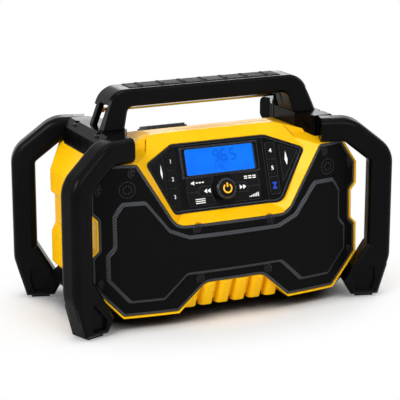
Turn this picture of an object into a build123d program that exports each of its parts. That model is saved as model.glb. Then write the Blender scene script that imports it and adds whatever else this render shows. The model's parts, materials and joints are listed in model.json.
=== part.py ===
from build123d import *
import math
import os

# Jobsite radio: a yellow two-shell housing held in a black roll cage, with a carrying handle.
# Millimetres. +X is the radio's right as seen from the front, +Y is back, +Z is up.
# The origin is at the middle of the footprint, on the ground.

REACH = 900.0

# ------------------------------------------------------------------ housing
BODY_HALF = 173.0
BODY_FLOOR = 13.5
CORNER_X = BODY_HALF - 36.0
CORNER_Z = 51.4
SHOULDER_X = BODY_HALF - 21.0
SHOULDER_Z = 193.3
SHOULDER_FOOT = 163.7
ROOF_HALF = 80.0
ROOF_Z = 213.5
ROOF_RIDGE_BACK = -8.0
ROOF_RIDGE_FRONT = -31.0
ROOF_BACK_SLOPE = 13.5
GROOVE_TOP = 137.5
GROOVE_BOTTOM = 88.4
GROOVE_DEPTH = 8.0
FRONT_Y = -93.0
FRONT_RADIUS = 830.0
FRONT_LEAN = 2.0
REAR_Y = 73.0
REAR_CHAMFER = 21.0
LEDGE_Z = 191.5
LEDGE_SLOPE = 0.26
WALL = 3.0
SPLIT_Y = -20.0

# ------------------------------------------------------------------ finger ribs under the front
RIB_NOTCH_TOP = 46.0
RIB_NOTCH_HALF = 37.0
RIB_NOTCH_FOOT = 71.0
RIB_NOTCH_DEPTH = 9.0
RIB_NOTCH_RUN = 12.0
RIB_COUNT = 6
RIB_PITCH = 21.0
RIB_WIDTH = 17.0
RIB_FLOOR = 15.5
RIB_HEIGHT = 8.0
RIB_ROUND = 6.0
RIB_NOTCH_BASE = 16.0
RIB_TOE_Z = 20.5
RIB_TOE_DEPTH = 14.0

# ------------------------------------------------------------------ control panel
PANEL_TILT = 18.4
PANEL_Z = 146.5
PANEL_Y = -60.5
WING_ANGLE = 23.0
FOLD_X = 57.0
PANEL_TOP_X = 61.5
PANEL_TOP_Z = 201.8
PANEL_TIP_X = 102.0
PANEL_TIP_Z = 187.7
PANEL_FOOT_X = 70.0
PANEL_FOOT_Z = 125.4
PANEL_CORNER_FOOT = 15.0
PANEL_CORNER_TIP = 4.5
PANEL_SKIN = 4.0
PANEL_RIM = 2.6
PANEL_RIM_HEIGHT = 1.4
PANEL_CLEARANCE = 0.2
WINDOW_MARGIN = 2.6
SURROUND_FOOT_Z = 116.4
SURROUND_FOOT_X = 71.0
SURROUND_TOP_X = PANEL_TIP_X + 15.0

# ------------------------------------------------------------------ display
LCD_HALF = 44.5
LCD_BOTTOM = 19.8
LCD_TOP = 50.0
LCD_CORNER = 2.2
LENS_THICKNESS = 1.6
LENS_REST = 1.2
MODULE_DEPTH = 6.0
MODULE_MARGIN = 1.5
LENS_LAP = 1.5
FRAME_BORDER = 5.4
FRAME_BORDER_FOOT = 2.6
FRAME_RISE = 1.3
FRAME_BEVEL = 0.9
POST_X = 52.6
POST_Y = (-8.0, 46.0)
POST_RADIUS = 2.2
BOARD_DEPTH = 12.0
BOARD_THICKNESS = 1.6
BOARD_MARGIN = 3.6

# ------------------------------------------------------------------ keys
KEY_GAP = 0.35
KEY_PROUD = 1.0
KEY_TRAVEL = 0.9
KEY_FLANGE = 0.75
KEY_FLANGE_THICKNESS = 1.2
KEY_FLANGE_GAP = 0.2
SWITCH_CLEARANCE = 0.6
SWITCH_GAP = KEY_TRAVEL + SWITCH_CLEARANCE
SWITCH_SIZE = 3.0
SWITCH_INSET = 4.5
ROCKER_SWITCH_REACH = 10.3
COLUMN_X = 8.7
COLUMN_WIDTH = 10.6
COLUMN_PITCH = 20.6
COLUMN_BASE = -3.0
KEY_JOIN = 1.1
ROCKER_TRAVEL_GAP = 1.2
ROCKER_SWITCH_GAP = 0.8
FULCRUM_RADIUS = 1.1
ROCKER_GAP = 0.5
ROCKER_FULCRUM_RISE = 3.0
KEY_BEVEL = 0.4
ROCKER_CORNERS = [(75.0, 190.5), (94.0, 184.0), (75.0, 149.5)]
SEEK_INNER = 16.0
SEEK_OUTER = 31.0
SEEK_HALF = 5.0
LABEL_KEY_OUTER = 47.5
LABEL_KEY_TOP = 16.0
LABEL_KEY_INNER = 14.6
KEY_SLANT = 2.5
LABEL_KEY_FOOT = 1.5
SEEK_NOSE = 1.5
SEEK_NOTCH_GAP = 0.6

# ------------------------------------------------------------------ power button
POWER_RING_RADIUS = 12.6
POWER_RING_BORE = 9.7
POWER_RING_HEIGHT = 9.5
POWER_RING_BEVEL = 1.6
POWER_BUTTON_RADIUS = 9.3
POWER_BUTTON_HEIGHT = 10.8
POWER_DOME = 2.2

# ------------------------------------------------------------------ grille
GRILLE_LIP = 2.2
GRILLE_RECESS = 1.0
GRILLE_SHEET = 1.5
GRILLE_CLEARANCE = 0.25
GRILLE_CORNER = 4.0
GRILLE_BAY_CORNER = 18.0
GRILLE_NOTCH_CORNER = 16.0
GRILLE_TOP_RISE = 2.0
DOME_RISE = 3.6
DOME_SLOPE = 3.0
DOME_STEPS = 3
DOME_CORNER = 5.0
DOME_TOP_Z = 149.5
DOME_BOTTOM_Z = 31.0
DOME_END_X = BODY_HALF - 17.5
DOME_WAIST_X = BODY_HALF - GROOVE_DEPTH - 18.0
DOME_WAIST_Z = (99.0, 134.0)
DOME_END_Z = (60.0, 89.0)
DOME_TOP_X = (108.0, BODY_HALF - 36.0)
DOME_BOTTOM_X = (88.0, BODY_HALF - 43.0)
DOME_BROW = (80.0, 114.0)
DOME_NECK = [(57.0, 104.5), (60.0, 57.5)]
GRILLE_SCREW_HEAD = 4.2
GRILLE_SCREW_SHANK = 1.6
GRILLE_SCREW_LENGTH = 11.0
GRILLE_SCREW_RISE = 0.6
GRILLE_SCREW_SINK = 1.0
GRILLE_SCREW_DISH = 6.2
GRILLE_CUP_WALL = 1.2
BOSS_RADIUS = 3.8
GRILLE_SCREW_X = BODY_HALF - 13.0
GRILLE_SCREWS = [
    (GRILLE_SCREW_X, 164.5),
    (122.0, 182.5),
    (GRILLE_SCREW_X, 55.0),
    (46.0, 110.3),
    (42.5, 51.5),
]

# ------------------------------------------------------------------ speakers
SPEAKER_RADIUS = 47.0
SPEAKER_END_GAP = 3.0
SPEAKER_X = BODY_HALF - GROOVE_DEPTH - WALL - SPEAKER_RADIUS - SPEAKER_END_GAP
SPEAKER_Z = 88.0
SPEAKER_SEAT_GAP = 2.9
CONE_RADIUS = 39.0
FLANGE_THICKNESS = 3.0
BASKET_DEPTH = 20.0
MAGNET_RADIUS = 26.0
MAGNET_DEPTH = 17.0
COIL_RADIUS = 11.0
BASKET_SKIN = 2.0
BASKET_RIM = 1.0
CONE_SKIN = 1.2
CONE_LIFT = 0.3
CONE_ROLL = 4.0
CAP_DEPTH = 8.0
TWEETER_X = BODY_HALF - 44.0
TWEETER_Z = 163.5
TWEETER_SEAT_GAP = 0.6
TWEETER_RADIUS = 13.0
TWEETER_DEPTH = 13.0
TWEETER_HOLE = 9.0
TWEETER_FLANGE = 3.0
TWEETER_DISH = 2.5

# ------------------------------------------------------------------ roll cage
CAGE_HALF = BODY_HALF + 37.0
SEAM_X = BODY_HALF - 36.0
SEAM_Y = 69.0
CAGE_FLARE = 18.0
TUBE_WIDTH = 28.5
TUBE_DEPTH = 29.0
TUBE_ROUND = 8.0
TUBE_TOP_Z = 207.5
TUBE_BEND_S = 19.5
TUBE_SHOULDER_Z = 175.2
TUBE_KNEE_Z = 52.0
TOP_BEND_RADIUS = 25.0
SHOULDER_BEND_RADIUS = 20.0
NOSE_LENGTH = 14.0
FOOT_PAD = 3.0
FOOT_OUTER_S = 60.0
FOOT_INNER_S = 27.0
FOOT_BRACE_Z = 66.0
FOOT_POCKET = [(48.8, 41.0), (31.0, 20.5), (31.5, 9.0), (51.0, 9.0), (55.6, 23.3), (54.6, 37.0)]
FOOT_HEEL_S = 18.0
FOOT_HEEL_Z = 19.0
FOOT_CHAMFER = 3.0
FOOT_POCKET_DEPTH = 4.0
FOOT_POCKET_CORNER = 1.5
FOOT_PAD_INSET = 2.5
RAIL_START = 7.0
RAIL_END = 37.0
RAIL_THICKNESS = 15.0
RAIL_ROUND = 3.0

# ------------------------------------------------------------------ yokes
YOKE_OUTER = BODY_HALF - 20.0
YOKE_WIDTH = 44.0
YOKE_INNER = YOKE_OUTER - YOKE_WIDTH
YOKE_TOP = 222.0
YOKE_HALF_LENGTH = 57.0
YOKE_STRAIGHT = 31.0
YOKE_TAPER = 13.0
YOKE_CHAMFER = 9.0
YOKE_BASE = 185.0
YOKE_DIMPLE_X = YOKE_OUTER - 7.0
YOKE_DIMPLE_Y = 34.0
YOKE_DIMPLE_RADIUS = 4.6
YOKE_DIMPLE_DEPTH = 5.0
CAGE_SCREW_HEAD = 4.2
CAGE_SCREW_HEAD_HEIGHT = 3.0
CAGE_SCREW_SHANK = 2.0
CAGE_SCREW_LENGTH = 32.0
CAGE_BOSS_RADIUS = 4.5

# ------------------------------------------------------------------ handle
HANDLE_FOOT = YOKE_OUTER - 13.0
HANDLE_TOP_X = HANDLE_FOOT - 17.0
HANDLE_RISE = 44.0
HANDLE_TOP = YOKE_TOP + HANDLE_RISE
HANDLE_ARC = 25.0
GRIP_BOTTOM = HANDLE_TOP - 20.0
GRIP_ARC = 9.0
LEG_INNER_FOOT = YOKE_INNER + 0.5
LEG_INNER_TOP = LEG_INNER_FOOT - 6.0
HANDLE_FRONT = -28.0
HANDLE_FRONT_TOP = -21.5
HANDLE_BACK = 16.0
LEG_FRONT_SKIN = 6.0
LEG_INNER_SKIN = 7.0
LEG_WALL_BACK = 10.0
STRIP_FRONT = 6.0
STRIP_BACK = 14.0
STRIP_WIDTH = 6.5
STRIP_INSET = 3.0
STRIP_TOP = HANDLE_TOP - 14.0
HANDLE_BEVEL = 3.0
LEG_WALL_GAP = 3.5
LEG_POCKET_RISE = 4.0
GRIP_HALF = LEG_INNER_TOP - 5.5
GRIP_FRONT = -13.0
GRIP_BACK = 11.0
GRIP_SINK = 2.0
GRIP_RISE = 0.9
GRIP_BEVEL = 0.7
TICK_PITCH = 27.2
TICK_COUNT = 7
TICK_WIDTH = 5.0
TICK_RISE = 1.1
TICK_BEVEL = 0.9
TICK_INSET = 3.0
HANDLE_SCREW_X = (-84.0, -28.0, 28.0, 84.0)
HANDLE_SCREW_Z = HANDLE_TOP - 11.0
HANDLE_SCREW_HEAD = 3.6
HANDLE_SCREW_HEAD_HEIGHT = 3.0
HANDLE_SCREW_SHANK = 1.8
HANDLE_SCREW_SINK = 5.0
HANDLE_SCREW_LENGTH = 18.0

# ------------------------------------------------------------------ antenna
ANTENNA_X = YOKE_INNER + 7.0
ANTENNA_Y = 24.5
ANTENNA_Z = 236.0
ANTENNA_POST_RADIUS = 7.5
ANTENNA_POST_TOP = 226.5
ANTENNA_POST_BOTTOM = 204.0
SWIVEL_PIN_RADIUS = 3.0
SWIVEL_PIN_DEPTH = 9.0
SWIVEL_DISC = 2.6
SWIVEL_GAP = 0.2
RUNNING_CLEARANCE = 0.06
ELBOW_RADIUS = 4.0
ELBOW_HALF_WIDTH = 2.6
ELBOW_EAR = 2.4
ELBOW_PIN_RADIUS = 1.5
WHIP_RADII = (3.4, 2.75, 2.1)
WHIP_NECK = 1.0
WHIP_NECK_HALF = 2.0
WHIP_END_X = 9.0 - ANTENNA_X
WHIP_STEP = 3.5
TIP_RADIUS = 4.0
REST_X = -LEG_INNER_TOP - 3.0
REST_WIDTH = 5.0
REST_THICKNESS = 3.6
REST_REACH = 5.0

# ------------------------------------------------------------------ roof vent, rear bay and sockets
VENT_X0 = -57.0
VENT_X1 = -2.0
VENT_FROM_RIDGE = 46.0
VENT_LENGTH = 24.0
VENT_RISE = 2.0
VENT_SINK = 2.0
VENT_RIBS = 6
VENT_RIB_WIDTH = 4.0
VENT_RIB_RISE = 2.6
VENT_RIB_BEVEL = 1.0
BAY_HALF = 47.0
BAY_Z0 = 62.0
BAY_Z1 = 152.0
BAY_DEPTH = 44.0
BAY_SKIN = 2.5
BAY_FLANGE = 7.0
BAY_FLANGE_THICKNESS = 2.5
BAY_RAIL_HEIGHT = 4.0
BAY_RAIL_DEPTH = 5.0
BAY_RAIL_FROM_FACE = 14.0
TERMINAL_HALF = 18.0
TERMINAL_HEIGHT = 16.0
TERMINAL_DEPTH = 9.0
BLADE_THICKNESS = 1.2
BLADE_LENGTH = 14.0
BLADE_PITCH = 8.0
BLADE_HALF_HEIGHT = 3.0
PORT_X = BODY_HALF - 53.0
AUX_Z = 152.0
USB_Z = 132.0
AUX_BORE = 1.8
AUX_BODY_RADIUS = 5.0
AUX_LENGTH = 15.0
USB_HALF_WIDTH = 6.3
USB_HALF_HEIGHT = 2.5
USB_SKIN = 1.2
USB_LENGTH = 14.0
INLET_Z = 70.0
INLET_BORE = 3.4
INLET_BODY_RADIUS = 6.5
INLET_FLANGE_RADIUS = 9.0
INLET_LENGTH = 14.0
INLET_PIN_RADIUS = 0.8
INLET_PIN_LENGTH = 3.0
INLET_FLANGE = 1.6
SOCKET_FLOOR = 1.5
COVER_X0 = PORT_X - 14.0
COVER_X1 = PORT_X + 22.0
COVER_Z0 = 120.0
COVER_Z1 = 162.0
COVER_THICKNESS = 2.6
COVER_GAP = 0.3
COVER_BARREL = 2.3
COVER_PIN = 1.2
COVER_EAR = 5.0
COVER_CORNER = 3.0

# ------------------------------------------------------------------ boards
MAIN_BOARD_END_GAP = 2.0
MAIN_BOARD_BAY_GAP = 13.0
MAIN_BOARD_X0 = REAR_CHAMFER + MAIN_BOARD_END_GAP - BODY_HALF
MAIN_BOARD_X1 = -BAY_HALF - MAIN_BOARD_BAY_GAP
MAIN_BOARD_Z0 = 60.0
MAIN_BOARD_Z1 = 150.0
STANDOFF = 7.0
STANDOFF_RADIUS = 3.0
STANDOFF_MARGIN = 6.0
CHIP_HEIGHT = 3.0
CHIP_HALF = 9.0
CHIP_FROM_END = 25.0
TRANSFORMER_X0 = 66.0
TRANSFORMER_X1 = 116.0
TRANSFORMER_Y0 = 12.0
TRANSFORMER_Y1 = 54.0
TRANSFORMER_HEIGHT = 36.0
TRANSFORMER_BOBBIN = 4.0
TRANSFORMER_ENDS = 10.0
TRANSFORMER_YOKE = 5.0


# ================================================================== helpers
def polygon(points):
    return make_face(Polyline(*points, close=True))


def both_sides(right):
    """A closed outline from its right half, listed from the top of the middle line down."""
    left = [(-x, z) for x, z in reversed(right)]
    return polygon(right + [p for p in left if p not in right])


def prism_y(face, y0, y1):
    """The block whose front outline is `face` (x, z), from y0 back to y1."""
    return extrude(Plane.XZ.offset(-y1) * face, amount=y1 - y0)


def block(x0, x1, y0, y1, z0, z1, plane=Plane.XY):
    """A box between the given limits in the plane's own directions."""
    size = (x1 - x0, y1 - y0, z1 - z0)
    middle = ((x0 + x1) / 2, (y0 + y1) / 2, (z0 + z1) / 2)
    return plane * (Pos(*middle) * Box(*size))


def beyond(point, normal, step=0.0):
    """Everything past the plane through `point`, after moving it back by `step`."""
    n = Vector(*normal).normalized()
    plane = Plane(origin=Vector(*point) - n * step, z_dir=n)
    return plane * Box(REACH, REACH, REACH, align=(Align.CENTER, Align.CENTER, Align.MIN))


def rod_y(x, z, radius, y0, y1):
    return Plane.XZ.offset(-y1) * Pos(x, z) * Cylinder(radius, y1 - y0, align=ON_END)


def rod_z(x, y, radius, z0, z1):
    return Pos(x, y, z0) * Cylinder(radius, z1 - z0, align=ON_END)


def rod_x(y, z, radius, x0, x1):
    plane = Plane(origin=(x0, y, z), x_dir=(0, 1, 0), z_dir=(1, 0, 0))
    return plane * Cylinder(radius, x1 - x0, align=ON_END)


def left_of(shape):
    return shape.mirror(Plane.YZ)


def rear_of(shape):
    return shape.mirror(Plane.XZ)


def turned(profile, x, y, z):
    """The solid made by turning a (radius, depth) profile about the line along +Y at (x, z)."""
    face = polygon([(r, d) for r, d in profile])
    return Pos(x, y, z) * revolve(face, Axis.Y)


ON_END = (Align.CENTER, Align.CENTER, Align.MIN)


# ================================================================== housing forms
def body_face():
    """Front outline of the housing, with the finger groove in each end."""
    groove_x = BODY_HALF - GROOVE_DEPTH
    right = [
        (ROOF_HALF, ROOF_Z),
        (SHOULDER_X, SHOULDER_Z),
        (BODY_HALF, SHOULDER_FOOT),
        (BODY_HALF, GROOVE_TOP),
        (groove_x, GROOVE_TOP - GROOVE_DEPTH),
        (groove_x, GROOVE_BOTTOM + GROOVE_DEPTH),
        (BODY_HALF, GROOVE_BOTTOM),
        (BODY_HALF, CORNER_Z),
        (CORNER_X, BODY_FLOOR),
    ]
    return both_sides(right)


def front_region(step=0.0):
    """Everything behind the bulging front face, moved back by `step`."""
    lean = math.radians(FRONT_LEAN)
    axis = (0, math.sin(lean), math.cos(lean))
    foot = Vector(0, FRONT_Y, BODY_FLOOR) + Vector(0, math.cos(lean), -math.sin(lean)) * FRONT_RADIUS
    column = Plane(origin=foot, x_dir=(1, 0, 0), z_dir=axis)
    return column * Cylinder(FRONT_RADIUS - step, ROOF_Z * 3)


def front_y(x, z):
    """Where the front face is at (x, z)."""
    lean = math.radians(FRONT_LEAN)
    sag = FRONT_RADIUS - math.sqrt(FRONT_RADIUS**2 - x**2)
    return FRONT_Y + math.tan(lean) * (z - BODY_FLOOR) + sag / math.cos(lean)


def seat_y(x, z, radius, gap):
    """How far back a flat round seat at (x, z) clears the wall behind the grille."""
    wall = front_y(x + radius, z + radius) + GRILLE_RECESS + GRILLE_SHEET + WALL
    return wall + gap


SPEAKER_SEAT = seat_y(SPEAKER_X, SPEAKER_Z, SPEAKER_RADIUS, SPEAKER_SEAT_GAP)
TWEETER_SEAT = seat_y(TWEETER_X, TWEETER_Z, TWEETER_RADIUS, TWEETER_SEAT_GAP)


def front_shell(step0, step1):
    """The layer of the front between two depths behind its face."""
    layer = front_region(step0) - front_region(step1)
    return layer & block(-REACH / 2, REACH / 2, -REACH / 2, 0, -1, ROOF_Z * 1.2)


def plan_face():
    side = BODY_HALF
    return polygon(
        [
            (-side, -REACH / 4),
            (side, -REACH / 4),
            (side, REAR_Y - REAR_CHAMFER),
            (side - REAR_CHAMFER, REAR_Y),
            (REAR_CHAMFER - side, REAR_Y),
            (-side, REAR_Y - REAR_CHAMFER),
        ]
    )


def shrunk(face, step):
    return offset(face, -step, kind=Kind.INTERSECTION) if step else face


def panel_frames():
    """The middle of the control panel and its two wings, each with +Z out of its face."""
    tilt = math.radians(PANEL_TILT)
    turn = math.radians(WING_ANGLE)
    out = Vector(0, -math.cos(tilt), math.sin(tilt))
    across = Vector(1, 0, 0)
    middle = Plane(origin=(0, PANEL_Y, PANEL_Z), x_dir=across, z_dir=out)
    wings = []
    for side in (1, -1):
        fold = Vector(side * FOLD_X, PANEL_Y, PANEL_Z)
        wing_x = across * math.cos(turn) + out * (side * math.sin(turn))
        wing_z = out * math.cos(turn) - across * (side * math.sin(turn))
        wings.append(Plane(origin=fold, x_dir=wing_x, z_dir=wing_z))
    return middle, wings[0], wings[1]


MIDDLE, RIGHT_WING, LEFT_WING = panel_frames()


def slant_y(z):
    """Where the panel's middle plane is at height z."""
    return PANEL_Y + (z - PANEL_Z) * math.tan(math.radians(PANEL_TILT))


def wing_y(x, z):
    """Where the wing's face is at (x, z), from the fold outwards."""
    n = RIGHT_WING.z_dir
    fold = RIGHT_WING.origin
    return fold.Y - (n.X * (x - fold.X) + n.Z * (z - fold.Z)) / n.Y


def side_plane(side):
    """A point on, and the outward normal of, the slope beside the panel."""
    foot = Vector(SURROUND_FOOT_X, front_y(SURROUND_FOOT_X, SURROUND_FOOT_Z), SURROUND_FOOT_Z)
    top = Vector(SURROUND_TOP_X, front_y(SURROUND_TOP_X, LEDGE_Z), LEDGE_Z)
    tip = Vector(PANEL_TIP_X, wing_y(PANEL_TIP_X, PANEL_TIP_Z), PANEL_TIP_Z)
    normal = (tip - foot).cross(top - foot)
    if normal.X > 0:
        normal = normal * -1
    return (side * tip.X, tip.Y, tip.Z), (side * normal.X, normal.Y, normal.Z)


def between_sides(step):
    (right, right_n), (left, left_n) = side_plane(1), side_plane(-1)
    return beyond(right, right_n, step) & beyond(left, left_n, step)


def surround_cut(step=0.0, depth=0.0):
    """The hollow in front of the panel, grown by `step`, with its bottom moved in by `depth`."""
    ledge_front = Vector(0, front_y(0, SURROUND_FOOT_Z), SURROUND_FOOT_Z)
    ledge_back = Vector(0, slant_y(PANEL_FOOT_Z), PANEL_FOOT_Z)
    run = ledge_back - ledge_front
    hollow = between_sides(step) & beyond(tuple(ledge_back), (0, -run.Z, run.Y), step)
    for frame in (MIDDLE, RIGHT_WING, LEFT_WING):
        hollow = hollow & beyond(tuple(frame.origin), tuple(frame.z_dir), depth)
    return hollow


def brow_cut(step=0.0):
    """What is cut off above the panel: a middle slope and a turned slope each side."""
    top = Vector(PANEL_TOP_X, wing_y(PANEL_TOP_X, PANEL_TOP_Z), PANEL_TOP_Z)
    tip = Vector(PANEL_TIP_X, wing_y(PANEL_TIP_X, PANEL_TIP_Z), PANEL_TIP_Z)
    ridge = Vector(PANEL_TOP_X, ROOF_RIDGE_FRONT, ROOF_Z)
    turned_n = (tip - top).cross(ridge - top)
    if turned_n.Z < 0:
        turned_n = turned_n * -1
    rise = ROOF_Z - PANEL_TOP_Z
    run = ROOF_RIDGE_FRONT - slant_y(PANEL_TOP_Z)
    middle_n = (0, -rise, run)
    cut = between_sides(step) & beyond((0, ROOF_RIDGE_FRONT, ROOF_Z), middle_n, step)
    for side in (1, -1):
        point = (side * top.X, top.Y, top.Z)
        cut = cut & beyond(point, (side * turned_n.X, turned_n.Y, turned_n.Z), step)
    return cut


def shoulder_cut(step=0.0):
    """What is cut off in front of and above the shoulders: a shallow ledge, then a slope."""
    ledge_point = (0, front_y(SURROUND_TOP_X, LEDGE_Z), LEDGE_Z)
    ledge = beyond(ledge_point, (0, -LEDGE_SLOPE, 1), step)
    slope = beyond((0, ROOF_RIDGE_FRONT, ROOF_Z), (0, -1, 1), step)
    outside = beyond((SURROUND_TOP_X, 0, 0), (1, 0, 0), SURROUND_TOP_X - FOLD_X)
    right = ledge & slope & outside
    return right + left_of(right)


def rear_roof():
    """The plane of the roof behind its ridge, which falls towards the back."""
    slope = math.radians(ROOF_BACK_SLOPE)
    out = (0, math.sin(slope), math.cos(slope))
    return Plane(origin=(0, ROOF_RIDGE_BACK, ROOF_Z), x_dir=(1, 0, 0), z_dir=out)


def roof_cut(step=0.0):
    """What is cut off over the roof behind its ridge."""
    roof = rear_roof()
    return beyond(tuple(roof.origin), tuple(roof.z_dir), step)


def body_block(step=0.0, panel_depth=0.0):
    """The housing's outer form; with a step, the same form that much inside it."""
    form = prism_y(shrunk(body_face(), step), -REACH / 6, REAR_Y)
    form = form & front_region(step)
    form = form & extrude(shrunk(plan_face(), step), amount=ROOF_Z * 1.2)
    form = form - surround_cut(step, panel_depth)
    form = form - brow_cut(step)
    form = form - (shoulder_cut(step) - between_sides(step))
    return form - roof_cut(step)


def panel_face(inset=0.0):
    """Front outline of the control panel."""
    right = [(PANEL_TOP_X, PANEL_TOP_Z), (PANEL_TIP_X, PANEL_TIP_Z), (PANEL_FOOT_X, PANEL_FOOT_Z)]
    face = shrunk(both_sides(right), inset)
    foot = face.vertices().group_by(Axis.Y)[0]
    face = fillet(foot, PANEL_CORNER_FOOT - inset)
    tips = face.vertices().sort_by(lambda v: abs(v.X))[-2:]
    return fillet(tips, PANEL_CORNER_TIP - inset)


def past_fold(side):
    """The side of the fold's mitre plane that belongs to one wing."""
    frame = RIGHT_WING if side > 0 else LEFT_WING
    mitre = (MIDDLE.x_dir + frame.x_dir) * side
    return beyond(tuple(frame.origin), tuple(mitre))


def panel_layer(z0, z1):
    """The layer of the folded panel between two heights over its face."""
    tall = BODY_HALF
    right, left = past_fold(1), past_fold(-1)
    middle = block(-tall, tall, -tall, tall, z0, z1, MIDDLE) - right - left
    right = block(-tall, tall, -tall, tall, z0, z1, RIGHT_WING) & right
    left = block(-tall, tall, -tall, tall, z0, z1, LEFT_WING) & left
    return middle + right + left


# ================================================================== housing
def grille_face(inset=0.0):
    """Front outline of the grille: the housing's, less the panel's bay and the finger ribs."""
    top_x = SURROUND_TOP_X
    bay = both_sides(
        [
            (BODY_HALF, ROOF_Z * 1.1),
            (BODY_HALF, LEDGE_Z + GRILLE_TOP_RISE),
            (top_x, LEDGE_Z),
            (SURROUND_FOOT_X, SURROUND_FOOT_Z),
        ]
    )
    notch = both_sides(
        [
            (RIB_NOTCH_HALF, RIB_NOTCH_TOP),
            (RIB_NOTCH_FOOT, BODY_FLOOR + GRILLE_LIP),
            (RIB_NOTCH_FOOT, 0),
        ]
    )
    face = shrunk(shrunk(body_face(), GRILLE_LIP) - bay - notch, inset)
    wide = [
        (SURROUND_FOOT_X, SURROUND_FOOT_Z, GRILLE_BAY_CORNER),
        (RIB_NOTCH_HALF, RIB_NOTCH_TOP, GRILLE_NOTCH_CORNER),
    ]
    tight = [v for v in face.vertices() if not any(at_corner(v, x, z) for x, z, _ in wide)]
    face = fillet(tight, GRILLE_CORNER)
    for x, z, radius in wide:
        face = fillet([v for v in face.vertices() if at_corner(v, x, z)], radius)
    return face


def at_corner(vertex, x, z):
    """Whether an outline's vertex is the corner at (x, z) or its mirror image."""
    return abs(abs(vertex.X) - x) < GRILLE_CORNER and abs(vertex.Y - z) < GRILLE_CORNER


def dome_face(inset=0.0):
    """Front outline of the grille's raised field."""
    right = [
        DOME_NECK[0],
        DOME_BROW,
        (DOME_TOP_X[0], DOME_TOP_Z),
        (DOME_TOP_X[1], DOME_TOP_Z),
        (DOME_WAIST_X, DOME_WAIST_Z[1]),
        (DOME_WAIST_X, DOME_WAIST_Z[0]),
        (DOME_END_X, DOME_END_Z[1]),
        (DOME_END_X, DOME_END_Z[0]),
        (DOME_BOTTOM_X[1], DOME_BOTTOM_Z),
        (DOME_BOTTOM_X[0], DOME_BOTTOM_Z),
        DOME_NECK[1],
    ]
    face = shrunk(both_sides(right), inset)
    return fillet(face.vertices(), DOME_CORNER)


def notch_slope(step=0.0):
    """Everything in front of the slanted wall of the hollow, moved back by `step`."""
    top = Vector(0, FRONT_Y + RIB_NOTCH_DEPTH, RIB_NOTCH_TOP)
    base = Vector(0, top.Y + RIB_NOTCH_RUN, RIB_NOTCH_BASE)
    run = base - top
    return beyond(tuple(base), (0, run.Z, -run.Y), step)


def finger_notch(step=0.0):
    """The slanted hollow under the middle of the front, and the undercut below its ribs."""
    right = [(RIB_NOTCH_HALF, RIB_NOTCH_TOP), (RIB_NOTCH_FOOT, BODY_FLOOR), (RIB_NOTCH_FOOT, 0)]
    outline = shrunk(both_sides(right), -step)
    hollow = prism_y(outline, -REACH / 6, 0) & notch_slope(step)
    back = FRONT_Y + RIB_NOTCH_DEPTH + RIB_NOTCH_RUN + RIB_TOE_DEPTH + step
    over = beyond((0, 0, RIB_TOE_Z + step), (0, 0, 1))
    return hollow + (prism_y(outline, -REACH / 6, back) - over)


def finger_ribs():
    """Upright ribs in the hollow under the front, for the fingers."""
    limit = notch_slope(-RIB_HEIGHT)
    ribs = []
    for i in range(RIB_COUNT):
        x = (i - (RIB_COUNT - 1) / 2) * RIB_PITCH
        half = RIB_WIDTH / 2
        back = FRONT_Y + RIB_NOTCH_DEPTH + RIB_NOTCH_RUN
        rib = block(x - half, x + half, FRONT_Y, back, RIB_FLOOR, RIB_NOTCH_TOP) - limit
        crest = [e for e in rib.edges() if abs(e.tangent_at(0.5).Z) > 0.5]
        crest = [e for e in crest if e.center().Y < back - 1 and e.center().Z > RIB_FLOOR + 1]
        ribs.append(fillet(crest, RIB_ROUND) & front_region())
    return ribs


def speaker_openings():
    """Sound holes of the speakers and tweeters, right through the front."""
    holes = []
    for side in (1, -1):
        holes.append(rod_y(side * SPEAKER_X, SPEAKER_Z, CONE_RADIUS, -REACH / 6, SPLIT_Y))
        holes.append(rod_y(side * TWEETER_X, TWEETER_Z, TWEETER_HOLE, -REACH / 6, SPLIT_Y))
    return holes


def grille_screw_places():
    for x, z in GRILLE_SCREWS:
        for side in (1, -1):
            yield side * x, z, front_y(x, z) + GRILLE_RECESS


def housing_shell():
    """The whole housing as one hollow form, before it is split."""
    outer = body_block() - finger_notch()
    for rib in finger_ribs():
        outer = outer + rib
    cavity = body_block(WALL, WALL + PANEL_SKIN + PANEL_CLEARANCE)
    cavity = cavity & front_region(GRILLE_RECESS + GRILLE_SHEET + WALL)
    cavity = cavity - finger_notch(WALL)
    pocket = prism_y(panel_face(-PANEL_CLEARANCE), -REACH / 6, 0)
    pocket = pocket & panel_layer(-PANEL_SKIN - PANEL_CLEARANCE, REACH / 6)
    return outer - pocket, cavity


def speaker_seats():
    for side in (1, -1):
        radius = SPEAKER_RADIUS + WALL
        yield rod_y(side * SPEAKER_X, SPEAKER_Z, radius, -REACH / 9, SPEAKER_SEAT)
        radius = TWEETER_RADIUS + WALL / 2
        yield rod_y(side * TWEETER_X, TWEETER_Z, radius, -REACH / 9, TWEETER_SEAT)


def grille_screw_seats():
    """Cups and bosses behind the front, one for each of the grille's screws."""
    front = GRILLE_SHEET / 2
    cup_radius = GRILLE_SCREW_DISH + GRILLE_CUP_WALL + WALL
    cup_back = GRILLE_SCREW_SINK + GRILLE_SHEET + WALL
    boss_back = GRILLE_SCREW_LENGTH + WALL
    profile = [
        (0, front),
        (cup_radius, front),
        (cup_radius, cup_back),
        (BOSS_RADIUS, cup_back),
        (BOSS_RADIUS, boss_back),
        (0, boss_back),
    ]
    for x, z, y in grille_screw_places():
        yield turned(profile, x, y, z)


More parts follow.
